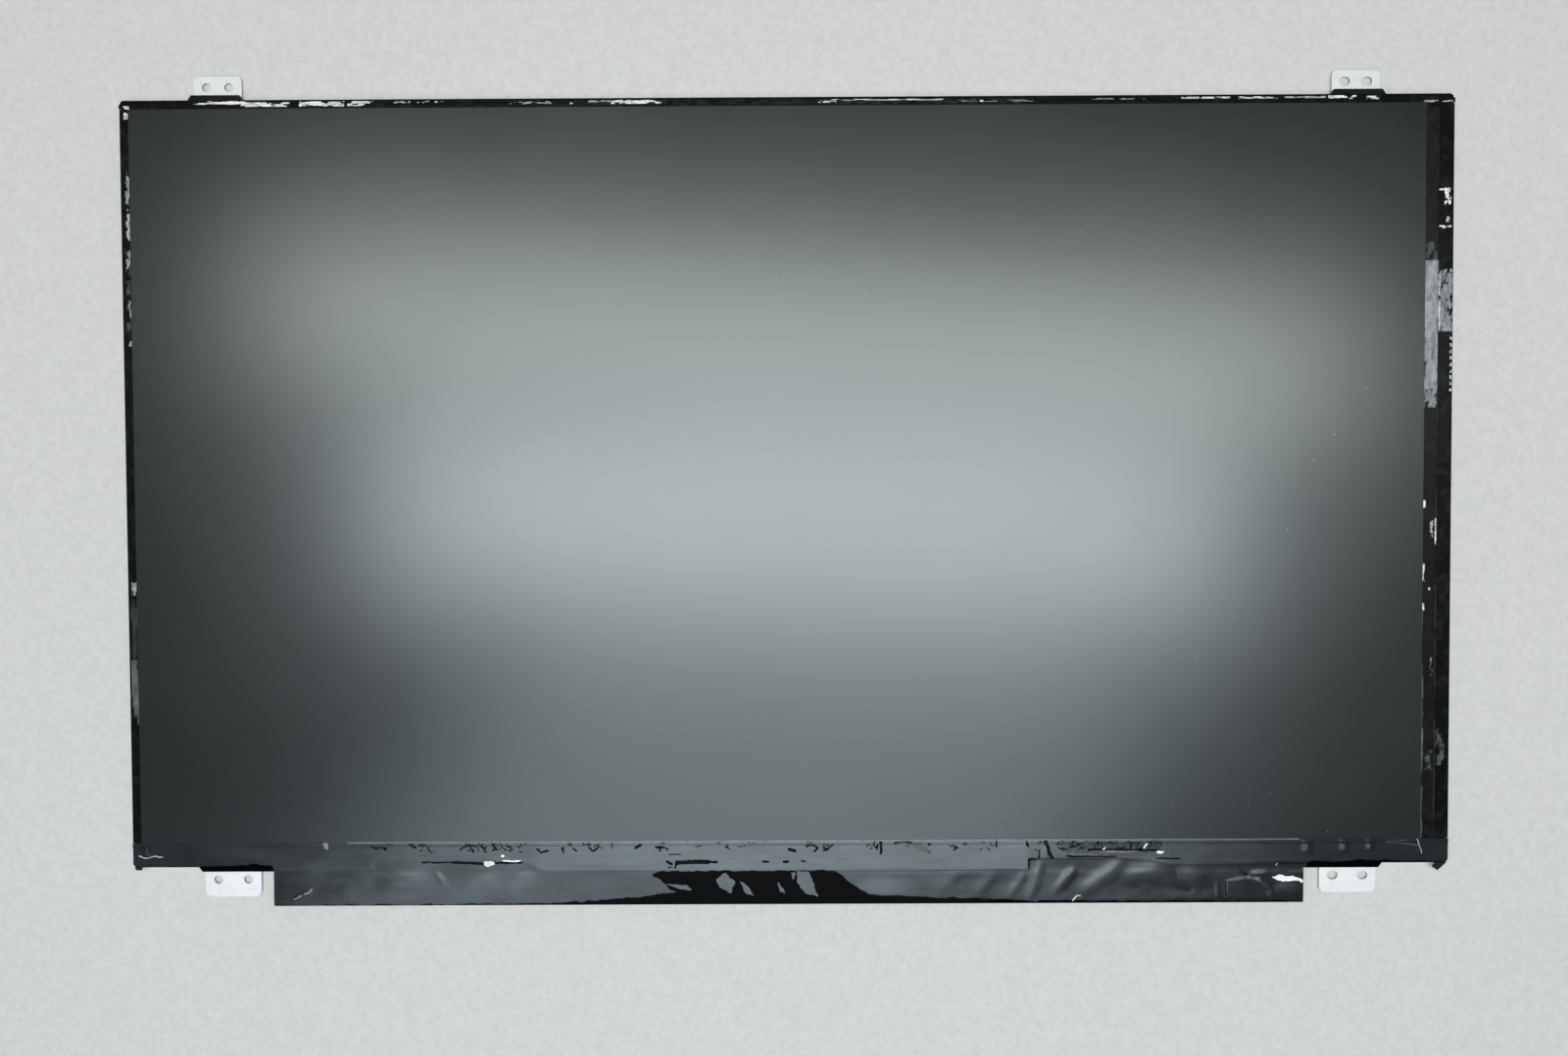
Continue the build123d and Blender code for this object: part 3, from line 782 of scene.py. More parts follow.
def depth_inside(x: Grid, y: Grid, corners: Sequence[Point]) -> Grid:
    """How far places lie inside a closed outline; below 0 outside it."""
    rim = line_distance(x, y, [*corners, corners[0]])
    return np.where(inside(x, y, corners), rim, -rim)


def bounds_of(points: Sequence[Point], margin: float) -> Box:
    """Left, right, low and high of a box round some places."""
    across, up = zip(*points)
    return min(across) - margin, max(across) + margin, min(up) - margin, max(up) + margin


def oval(x: Grid, y: Grid, centre: Point, radii: Point) -> Grid:
    """Distance from a centre in radii: 0 at the centre, 1 on the rim."""
    return np.hypot((x - centre[0]) / radii[0], (y - centre[1]) / radii[1])


def shown(name: str, mesh: bpy.types.Mesh, finish: Finish, *nodes: str) -> None:
    """Put a finished mesh into the scene as a piece of the panel.

    Args:
        name: Name of the piece.
        mesh: Its mesh, in place, in metres.
        finish: Its finish.
        nodes: The CAD nodes that it stands for.
    """
    piece = bpy.data.objects.new(name, mesh)
    bpy.context.scene.collection.objects.link(piece)
    mesh.materials.clear()
    mesh.materials.append(finish.material())
    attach(piece, "root")
    if nodes:
        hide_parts(*nodes)
    LOG.info("piece %s: %d faces", name, len(mesh.polygons))


def smooth_mesh(name: str, points: Grid, faces: list[Any], paint: dict[str, Grid]) -> bpy.types.Mesh:
    """Make a mesh that is smooth except at its sharp edges.

    Args:
        name: Name of the mesh.
        points: Its points, in millimetres.
        faces: The points of each face, in order.
        paint: Values to lay down on it, one for each point.

    Returns:
        The mesh.
    """
    mesh = bpy.data.meshes.new(name)
    mesh.from_pydata((points * MILLIMETRE).tolist(), [], faces)
    mesh.shade_smooth()
    mesh.set_sharp_from_angle(angle=SHARP_ANGLE)
    for label, values in paint.items():
        layer = mesh.attributes.new(label, "FLOAT", "POINT")
        layer.data.foreach_set("value", values.astype(np.float32))
    return mesh


def closed_sheet(name: str, inner: Grid, outer: Grid, keep: Grid, paint: dict[str, Grid]) -> bpy.types.Mesh:
    """Make a closed thin sheet between two grids of points.

    Args:
        name: Name of the mesh.
        inner: Points of the inner face, rows by columns by 3, in millimetres.
        outer: Points of the outer face.
        keep: Which cells of the grid the sheet has.
        paint: Values to lay down on the mesh, one for each grid point.

    Returns:
        The mesh, with walls round the outline of the kept cells.
    """
    rows, columns = inner.shape[:2]
    count = rows * columns
    index = np.arange(count).reshape(rows, columns)
    quads = np.stack([index[:-1, :-1], index[1:, :-1], index[1:, 1:], index[:-1, 1:]], -1)
    faces = [quads[keep], quads[keep][:, ::-1] + count]
    room = np.pad(keep, 1)
    beside = (room[1:-1, :-2], room[2:, 1:-1], room[1:-1, 2:], room[:-2, 1:-1])
    for side, neighbour in enumerate(beside):
        rim = quads[keep & ~neighbour]
        first, second = rim[:, side], rim[:, (side + 1) % 4]
        faces.append(np.stack([second, first, first + count, second + count], -1))
    used, packed = np.unique(np.concatenate(faces), return_inverse=True)
    points = np.concatenate([outer.reshape(-1, 3), inner.reshape(-1, 3)])[used]
    laid = {label: values.ravel()[used % count] for label, values in paint.items()}
    return smooth_mesh(name, points, packed.reshape(-1, 4).tolist(), laid)


def folded(corners: Sequence[Point], bend: float, pitch: float) -> Grid:
    """Sample a folded path with eased corners.

    Args:
        corners: Corners of the path.
        bend: How far from a corner the easing starts.
        pitch: Longest distance between samples on the straight runs.

    Returns:
        The samples, one row each.
    """
    turns = [np.array(corner, float) for corner in corners]
    samples = [turns[0]]
    for before, corner, after in zip(turns, turns[1:], turns[2:]):
        start = corner + (before - corner) * min(0.5, bend / np.linalg.norm(before - corner))
        end = corner + (after - corner) * min(0.5, bend / np.linalg.norm(after - corner))
        samples += straight(samples[-1], start, pitch)
        for part in (0.25, 0.5, 0.75, 1.0):
            samples.append((1 - part) ** 2 * start + 2 * part * (1 - part) * corner + part ** 2 * end)
    samples += straight(samples[-1], turns[-1], pitch)
    return np.array(samples)


def straight(start: Grid, end: Grid, pitch: float) -> list[Grid]:
    """Samples from just after one point up to another."""
    count = max(1, math.ceil(np.linalg.norm(end - start) / pitch))
    return [start + (end - start) * (part + 1) / count for part in range(count)]


def left_normals(path: Grid) -> Grid:
    """Unit normals on the left-hand side of a sampled path.

    Args:
        path: Points of the path, one row each.

    Returns:
        A normal for each point.
    """
    run = np.gradient(path, axis=0)
    run /= np.linalg.norm(run, axis=1, keepdims=True)
    return np.stack([-run[:, 1], run[:, 0]], 1)


@dataclass
class Drape:
    """A grid over the inner face of a film; rows run outwards and columns along the side."""

    base: Grid
    normal: Grid
    keep: Grid

    @property
    def x(self) -> Grid:
        """Places of the grid points across the picture, in millimetres."""
        return self.base[..., 0]

    @property
    def y(self) -> Grid:
        """Places of the grid points up the picture, in millimetres."""
        return self.base[..., 1]

    def layer(self, name: str, lift: Grid, gauge: float, paint: dict[str, Grid]) -> bpy.types.Mesh:
        """One film on the whole grid.

        Args:
            name: Name of the mesh.
            lift: How far its inner face stands off the grid.
            gauge: Its thickness.
            paint: Values to lay down on it.

        Returns:
            The film as a closed mesh.
        """
        inner = self.raised(lift).base
        return closed_sheet(name, inner, inner + self.normal * gauge, self.keep, paint)

    def raised(self, lift: Grid | float) -> Drape:
        """The same grid, moved off along its normals."""
        offset = self.normal * np.broadcast_to(lift, self.x.shape)[..., None]
        return Drape(self.base + offset, self.normal, self.keep)

    def window(self, box: Box, finer: int) -> Drape:
        """Make a finer grid over a part of this one.

        Args:
            box: Left, right, low and high of the part, across the picture.
            finer: Number of new cells along the side of an old one.

        Returns:
            The finer grid.
        """
        left, right, low, high = box
        found = (self.x > left) & (self.x < right) & (self.y > low) & (self.y < high)
        spans = []
        for axis, count in ((1, found.shape[0]), (0, found.shape[1])):
            hits = np.nonzero(found.any(axis))[0]
            first, last = max(hits[0] - 1, 0), min(hits[-1] + 1, count - 1)
            spans.append(np.arange(first * finer, last * finer + 1) / finer)
        rows, columns = spans
        normal = self._between(self.normal, rows, columns)
        normal /= np.linalg.norm(normal, axis=2, keepdims=True)
        keep = self.keep[np.ix_(rows[:-1].astype(int), columns[:-1].astype(int))]
        return Drape(self._between(self.base, rows, columns), normal, keep)

    @staticmethod
    def _between(values: Grid, rows: Grid, columns: Grid) -> Grid:
        """Values of the grid at places between its points.

        Args:
            values: Values at the grid points.
            rows: Rows to read, with fractions.
            columns: Columns to read, with fractions.

        Returns:
            The values that were read.
        """
        row = np.minimum(rows.astype(int), values.shape[0] - 2)
        column = np.minimum(columns.astype(int), values.shape[1] - 2)
        down, over = (rows - row)[:, None, None], (columns - column)[None, :, None]
        near = values[np.ix_(row, column)] * (1 - over) + values[np.ix_(row, column + 1)] * over
        far = values[np.ix_(row + 1, column)] * (1 - over) + values[np.ix_(row + 1, column + 1)] * over
        return near * (1 - down) + far * down


class Cutting:
    """Thin ragged patches that are cut along a contour and gathered into one mesh."""

    finer: int = 4
    mark_margin: float = 0.5
    patch_margin: float = 0.7

    def __init__(self, label: str) -> None:
        """Start with no patches.

        Args:
            label: Name of the value that each patch carries.
        """
        self.label = label
        self.points: list[Grid] = []
        self.faces: list[tuple[int, ...]] = []
        self.values: list[float] = []

    def add(self, drape: Drape, field: Grid, gauge: float, value: float = 1.0) -> None:
        """Cut a patch out of a grid where a field is above a half.

        Args:
            drape: The grid that the patch lies on.
            field: The field, one value for each grid point.
            gauge: Thickness of the patch.
            value: The value that the patch carries.
        """
        flat, columns = field.ravel(), field.shape[1]
        floor, rise = drape.base.reshape(-1, 3), drape.normal.reshape(-1, 3) * gauge
        spots: dict[tuple[int, int], int] = {}

        def spot(first: int, second: int) -> int:
            """Place in the mesh of a grid point, or of the contour between two of them.

            Args:
                first: Number of a grid point.
                second: The same, or the next one along the cell.

            Returns:
                Number of the upper point; the lower one follows it.
            """
            key = (min(first, second), max(first, second))
            if key not in spots:
                share = (0.5 - flat[key[0]]) / (flat[key[1]] - flat[key[0]]) if first != second else 0.0
                under = floor[key[0]] * (1 - share) + floor[key[1]] * share
                spots[key] = len(self.points)
                self.points += [under + rise[key[0]] * (1 - share) + rise[key[1]] * share, under]
            return spots[key]

        above = field > 0.5
        some = above[:-1, :-1] | above[1:, :-1] | above[1:, 1:] | above[:-1, 1:]
        rims: set[tuple[int, int]] = set()
        for row, column in zip(*np.nonzero(some & drape.keep)):
            corner = int(row) * columns + int(column)
            ring = (corner, corner + columns, corner + columns + 1, corner + 1)
            outline: list[int] = []
            for one, following in zip(ring, ring[1:] + ring[:1]):
                if flat[one] > 0.5:
                    outline.append(spot(one, one))
                if (flat[one] > 0.5) != (flat[following] > 0.5):
                    outline.append(spot(one, following))
            self.faces += [tuple(outline), tuple(place + 1 for place in reversed(outline))]
            for one, following in zip(outline, outline[1:] + outline[:1]):
                if (following, one) in rims:
                    rims.remove((following, one))
                else:
                    rims.add((one, following))
        self.faces += [(following, one, one + 1, following + 1) for one, following in sorted(rims)]
        self.values += [value] * (len(self.points) - len(self.values))

    def add_marks(self, film: Drape, marks: Sequence[Mark], gauge: float) -> None:
        """Cut thin marks.

        Args:
            film: The outer face of the tape.
            marks: The marks.
            gauge: Their thickness.
        """
        rag = Ripple(MARK_SEED, 3)
        for mark in marks:
            part = film.window(bounds_of(mark.points, mark.half + self.mark_margin), self.finer)
            self.add(part, mark.strength(part.x, part.y, rag), gauge, mark.level)

    def add_patch(self, film: Drape, corners: Sequence[Point], gauge: float, value: float = 1.0,
                  grow: float = 0.0) -> None:
        """Cut one ragged patch.

        Args:
            film: The outer face of the tape.
            corners: Corners of its outline.
            gauge: Its thickness.
            value: The value that it carries.
            grow: How far it reaches past its outline.
        """
        rag = Ripple(PATCH_SEED, 3)
        part = film.window(bounds_of(corners, grow + self.patch_margin), self.finer)
        x, y = part.x, part.y
        x, y = x + 0.22 * rag.at(x, y, 1.0, 1.0), y + 0.16 * rag.at(y, x, 1.0, 1.0)
        self.add(part, 0.5 + grow + depth_inside(x, y, corners), gauge, value)

    def mesh(self, name: str) -> bpy.types.Mesh:
        """All the patches as one mesh."""
        return smooth_mesh(name, np.array(self.points), self.faces, {self.label: np.array(self.values)})


@dataclass(frozen=True)
class Scrap:
    """A patch of residue or haze, or a painted highlight line, as a box across the picture with a ragged
    outline.
    """

    left: float
    right: float
    low: float
    high: float
    cover: float = 0.6
    lump: Point = (1.6, 0.5)
    level: float = 1.0

    @property
    def box(self) -> Box:
        """A box that holds the patch with its ragged rim."""
        across, up = (0.5 * lump + 0.35 for lump in self.lump)
        return self.left - across, self.right + across, self.low - up, self.high + up

    def strength(self, x: Grid, y: Grid, ripple: Ripple) -> Grid:
        """How much of the patch there is at each place, from 0 to 1.

        Args:
            x: Places across the picture, in millimetres.
            y: Places up the picture.
            ripple: Noise for its ragged rim.

        Returns:
            A share at each place.
        """
        margin_x = np.minimum(x - self.left, self.right - x) / self.lump[0]
        margin_y = np.minimum(y - self.low, self.high - y) / self.lump[1]
        margin = np.clip(np.minimum(margin_x, margin_y), -1.0, 1.0)
        body = 0.5 + 0.5 * margin + 0.75 * ripple.at(x, y, *self.lump) + (self.cover - 0.5)
        return np.where(margin > -0.3, ease(body, 0.35, 0.75), 0.0)


@dataclass
class EdgeTape:
    """Tape that holds the glass down along one side: over the film, down the step, round the wall."""

    edge: Edge
    node: str
    glass_edge: float
    scraps: tuple[Scrap, ...] = ()
    hazes: tuple[Scrap, ...] = ()
    seed: int = 1
    gauge: float = 0.06
    room: float = 0.1
    pitch: float = 0.28
    residue_gauge: float = 0.022
    step_run: Point = (0.05, 0.2)
    corner: float = 0.0
    wear: float = 0.02
    gaps: Points = ()

    def grid(self) -> Drape:
        """Lay the grid over the film's inner face.

        Returns:
            The grid.
        """
        inner, outer, start, end = self.edge.extent(self.node)
        low = corners_of(self.node)[0][2]
        front, rim = (corners_of(node)[1][2] for node in ("front_polariser", "mid_frame"))
        wall = outer - self.room
        path = folded([(inner, front), (self.glass_edge + self.step_run[0], front),
                       (self.glass_edge + self.step_run[1], rim), (wall, rim), (wall, low)], 0.12, 0.3)
        along = np.linspace(start, end, round((end - start) / self.pitch))
        reach = np.repeat(path[:, :1], len(along), 1)
        rows = left_normals(path)
        keep = np.ones((len(path) - 1, len(along) - 1), bool)
        if self.corner:
            over = np.clip(np.abs(along) - (end - self.corner), 0.0, self.corner)
            limit = wall - self.corner + np.sqrt(self.corner ** 2 - over ** 2)
            skirt = path[:-1, 1] < rim - 0.08
            keep &= ~(skirt[:, None] & (over[1:] + over[:-1] > 0))
            keep &= reach[:-1, :-1] < limit[:-1]
            reach = np.minimum(reach, limit)
        middles = (along[1:] + along[:-1]) / 2
        for first, last in self.gaps:
            skirt = path[:-1, 1] < rim - 0.02
            keep &= ~(skirt[:, None] & (middles > first) & (middles < last))
        height = np.repeat(path[:, 1:], len(along), 1)
        base = (reach[..., None] * self.edge.outward + along[:, None] * self.edge.along
                + height[..., None] * UP)
        normal = (rows[:, :1, None] * self.edge.outward + rows[:, 1:, None] * UP)
        return Drape(base, np.repeat(normal, len(along), 1), keep)

    def haze(self, drape: Drape) -> Grid:
        """How hazed the tape is: fine wear all over, and the ragged patches of haze, of which a thin one on
        the right tape is a painted highlight line.

        Args:
            drape: The grid of the tape.

        Returns:
            A share from 0 to 1 at each grid point.
        """
        x, y = drape.x, drape.y
        ripple, fine = Ripple(self.seed + 20, 3), Ripple(self.seed + 60, 3)
        haze = 0.003 + self.wear * np.clip(fine.at(x, y, 1.8, 1.8), 0.0, 1.0)
        for patch in self.hazes:
            streaks = 0.85 + 0.35 * fine.at(x, y, 1.1, 2.4)
            haze = np.maximum(haze, patch.strength(x, y, ripple) * patch.level * streaks)
        return np.clip(haze, 0.0, 1.0)

    def build(self) -> None:
        """Make the tape and what is left stuck on it, with painted highlight lines among the scraps where a
        tape has them.
        """
        drape = self.grid()
        lift = np.clip(0.008 + 0.004 * Ripple(self.seed, 2).at(drape.x, drape.y, 7.0, 7.0), 0.0, 0.016)
        shown(self.node.replace("_edge", "_wrapped"),
              drape.layer(self.node, lift, self.gauge, {"haze": self.haze(drape)}), EDGE_TAPE, self.node)
        film = drape.raised(lift + self.gauge - PATCH_SINK)
        ripple, residue_and_highlights = Ripple(self.seed + 40, 3), Cutting("tone")
        for place, scrap in enumerate(self.scraps):
            part = film.window(scrap.box, 3).raised(0.0005 * (place % 5))
            residue_and_highlights.add(part, scrap.strength(part.x, part.y, ripple), self.residue_gauge, scrap.level)
        shown(self.node.replace("_tape", "_residue"), residue_and_highlights.mesh(self.node + " residue"), RESIDUE_AND_HIGHLIGHTS)


@dataclass(frozen=True)
class Wrinkle:
    """A ridge in the board tape between two places; it dies away at its ends."""

    start: Point
    end: Point
    height: float
    width: float
    taper: float = 0.35

    def rise(self, x: Grid, y: Grid) -> Grid:
        """Height that the ridge adds at each place.

        Args:
            x: Places across the picture, in millimetres.
            y: Places up the picture.

        Returns:
            The height at each place, in millimetres.
        """
        run = np.array(self.end) - np.array(self.start)
        length = float(np.linalg.norm(run))
        along = ((x - self.start[0]) * run[0] + (y - self.start[1]) * run[1]) / length
        aside = ((y - self.start[1]) * run[0] - (x - self.start[0]) * run[1]) / length
        grow, shrink = self.taper * length, (1 - self.taper) * length
        fade = ease(along, -self.width, grow) * (1 - ease(along, shrink, length + self.width))
        return self.height * fade * np.exp(-(aside / self.width) ** 2)


@dataclass(frozen=True)
class Mark:
    """A thin bent mark: a crack or a shadow line drawn near-black as painted shade, or a pale scuff or
    painted glint on the tape.
    """

    half: float
    points: Points
    level: float = 1.0

    def strength(self, x: Grid, y: Grid, rag: Ripple) -> Grid:
        """A field that is above a half on the mark, which is narrower where its level is low."""
        x, y = x + 0.16 * rag.at(x, y, 0.9, 0.9), y + 0.13 * rag.at(y, x, 0.9, 0.9)
        return 0.5 + (self.half * (0.45 + 0.55 * self.level) + 0.05 - line_distance(x, y, self.points))


@dataclass
class BoardTape:
    """Wrinkled tape from the edge of the screen film down over the driver board."""

    node: str = "board_cover_tape"
    gauge: float = 0.06
    room: float = 0.1
    pitch: float = 0.45
    corner: float = 1.2
    lip: float = 0.85
    slope: float = 0.3
    stretch_from: float = 101.0
    chin_slope: float = 0.9
    skirt: float = 1.9
    chin_inset: float = 19.05
    shelf_reach: float = 1.9
    board_margin: float = 0.3
    crack_and_shadow_gauge: float = 0.007
    shade_gauge: float = 0.006
    shade_reach: float = 0.26
    flake_gauge: float = 0.012
    flake_haze: float = 0.38
    scuff_and_glint_gauge: float = 0.014
    tear_and_glint_gauge: float = 0.02
    layer_rise: float = 0.07
    layer_edge: Points = (
        (-180.0, -101.7), (-134.6, -102.85), (-114.2, -102.85), (-113.6, -100.75), (-82.8, -100.7),
        (-79.6, -101.0), (-73.0, -101.0), (-71.4, -101.4), (-70.0, -102.4), (-68.8, -103.2),
        (-67.0, -103.5), (65.0, -103.55), (65.3, -100.45), (89.7, -100.6), (99.0, -101.2), (104.0, -102.4),
        (180.0, -101.7))
    wrinkles: tuple[Wrinkle, ...] = each(
        Wrinkle, ((-135.8, -111.4), (-130.6, -108.4), 0.24, 0.45),
        ((-97.0, -103.6), (-94.2, -107.6), 0.15, 0.8), ((-112.0, -107.0), (-101.0, -105.0), 0.16, 2.2),
        ((-90.0, -109.0), (-80.0, -104.4), 0.17, 1.9), ((-78.0, -108.6), (-70.0, -104.2), 0.18, 1.7),
        ((-124.0, -110.0), (-113.0, -104.6), 0.10, 2.4), ((40.0, -109.4), (46.5, -104.6), 0.12, 2.0),
        ((50.5, -110.4), (56.0, -104.8), 0.13, 1.6), ((60.0, -111.0), (64.4, -104.4), 0.18, 1.1),
        ((65.6, -111.7), (68.7, -101.2), 0.30, 1.2), ((69.9, -101.0), (70.6, -95.9), 0.16, 0.5),
        ((71.9, -110.2), (77.9, -103.2), 0.36, 1.1), ((79.0, -110.4), (91.5, -101.4), 0.38, 1.8),
        ((91.0, -105.6), (102.6, -103.4), 0.26, 2.2), ((104.5, -102.2), (105.5, -108.2), -0.18, 0.8),
        ((105.5, -108.0), (110.0, -109.8), -0.14, 0.9), ((108.6, -103.8), (112.0, -107.6), 0.14, 2.4),
        ((81.7, -99.1), (98.6, -99.25), 0.10, 0.4), ((116.85, -106.8), (116.9, -112.2), 0.08, 0.35),
        ((123.2, -104.5), (125.4, -105.7), -0.2, 0.5), ((126.0, -105.0), (130.9, -104.8), 0.20, 0.6),
        ((127.4, -106.0), (131.4, -109.2), 0.26, 0.6), ((131.2, -109.0), (131.6, -112.2), 0.16, 0.6),
        ((133.0, -108.8), (139.6, -109.0), 0.16, 1.4), ((141.4, -95.4), (141.4, -98.7), 0.46, 0.95, 0.08),
        ((151.5, -95.5), (151.5, -98.6), 0.42, 0.8, 0.08),
        ((158.5, -95.5), (158.5, -98.3), 0.38, 0.7, 0.08), ((-178.0, -98.4), (-171.0, -99.9), 0.12, 0.35),
        ((-176.0, -95.8), (-176.2, -98.6), 0.12, 0.35), ((169.8, -95.7), (172.9, -100.1), 0.14, 0.4),
        ((164.0, -96.8), (170.0, -96.2), 0.10, 0.5))
    raised_patch: Points = (
        (119.2, -106.7), (124.5, -105.9), (127.8, -106.3), (131.0, -108.9), (131.3, -112.6), (119.2, -112.6))
    frayed: Scrap = Scrap(74.6, 101.2, -99.0, -95.9, 0.5, (1.3, 0.7), -0.2)
    bare_patch: Points = (
        (-37.6, -104.5), (-35.6, -103.75), (11.8, -103.65), (13.6, -104.5), (16.2, -106.8), (22.0, -110.4),
        (38.0, -111.1), (58.0, -111.8), (68.0, -112.3), (113.0, -112.35), (141.0, -112.6), (141.0, -114.0),
        (-136.0, -114.0), (-136.0, -112.7), (-66.0, -112.5), (-55.0, -111.8), (-41.0, -110.8),
        (-31.4, -109.4), (-34.6, -107.0))
    # Bands along the lower corners laid as bare near-black tape: painted shadow under the edge of the strip.
    painted_shadow_bands: tuple[Points, ...] = (
        ((-180.0, -102.0), (-160.0, -101.9), (-152.0, -101.6), (-146.0, -101.35), (-141.4, -101.6),
         (-141.4, -104.0), (-180.0, -104.0)),
        ((141.2, -101.75), (150.0, -101.6), (157.0, -101.3), (164.0, -101.5), (180.0, -101.8),
         (180.0, -104.0), (141.2, -104.0)))
    left_flakes: tuple[Points, ...] = (
        ((-34.0, -107.2), (-28.4, -107.5), (-26.6, -109.0), (-29.8, -108.8)),
        ((-20.2, -106.2), (-17.6, -104.2), (-15.0, -106.8), (-16.0, -109.9), (-18.9, -108.4)),
        ((-13.8, -106.4), (-11.4, -108.0), (-9.8, -110.6), (-12.2, -109.9)),
        ((0.4, -104.2), (1.7, -104.3), (1.0, -106.4)),
        ((2.1, -103.7), (5.6, -104.1), (7.8, -111.0), (4.0, -109.8), (1.9, -107.0)),
        ((-3.3, -106.4), (-1.0, -109.9), (-2.8, -109.3)))
    crazed: tuple[tuple[float, float, int], ...] = (
        (-115.0, -108.0, 7), (-104.0, -97.0, 8), (-91.0, -72.0, 24), (-62.0, -48.0, 14), (-37.0, -33.0, 3),
        (-20.0, -9.0, 6), (0.0, 12.0, 8), (21.0, 25.0, 4), (28.0, 39.0, 7), (44.0, 56.0, 8), (60.0, 70.0, 4),
        (73.0, 101.0, 38))
    crazed_rows: Point = (-98.3, -95.9)
    # White spots and a thin slit: holes in the tape showing white, and painted glints where the film folds.
    tears_and_glints: tuple[tuple[Point, Point], ...] = (
        ((-82.3, -101.4), (1.5, 0.75)), ((101.2, -98.9), (1.05, 0.4)), ((-76.0, -100.75), (2.8, 0.25)),
        ((-78.6, -99.3), (0.5, 0.35)))
    long_tear: Points = (
        (131.6, -105.9), (133.5, -105.45), (136.2, -105.6), (138.2, -105.9), (139.5, -106.4),
        (140.4, -107.1), (139.7, -107.6), (139.0, -107.05), (137.5, -106.95), (135.7, -107.2),
        (134.0, -106.95), (132.7, -106.6))
    bared_film: Points = (
        (33.5, -96.0), (36.0, -95.8), (36.4, -96.9), (37.4, -97.4), (38.6, -98.6), (35.4, -98.4),
        (33.8, -97.2))
    torn_tail: Points = ((176.4, -101.6), (175.3, -103.2), (179.4, -102.1), (176.9, -104.35))
    torn_stub: Points = ((-179.3, -102.0), (-179.0, -102.9), (-177.0, -101.9), (-177.4, -103.0))
    # Pale marks: scuffs, and painted glints on the crests and ends of wrinkles.
    scuffs_and_glints: tuple[Mark, ...] = each(
        Mark, (0.14, ((-178.1, -98.9), (-176.3, -99.6), (-174.1, -99.1), (-171.7, -99.2)), 0.5),
        (0.10, ((162.9, -96.4), (167.2, -96.8), (171.6, -97.3)), 0.1),
        (0.12, ((171.2, -95.5), (172.0, -98.0), (172.5, -99.4)), 0.45),
        (0.80, ((-127.0, -95.9), (-126.6, -96.9)), 0.25),
        (0.12, ((-135.6, -111.2), (-134.3, -110.6), (-133.6, -109.9)), 0.45),
        (0.12, ((-132.7, -109.6), (-131.5, -109.1), (-130.8, -108.4)), 0.45),
        (0.20, ((96.6, -97.75), (97.7, -96.7)), 0.9),
        (0.18, ((77.4, -112.2), (78.6, -110.9), (79.4, -110.9)), 0.7),
        (0.14, ((133.0, -102.6), (133.3, -102.2)), 0.5), (0.16, ((85.6, -98.1), (86.2, -97.8)), 0.7))
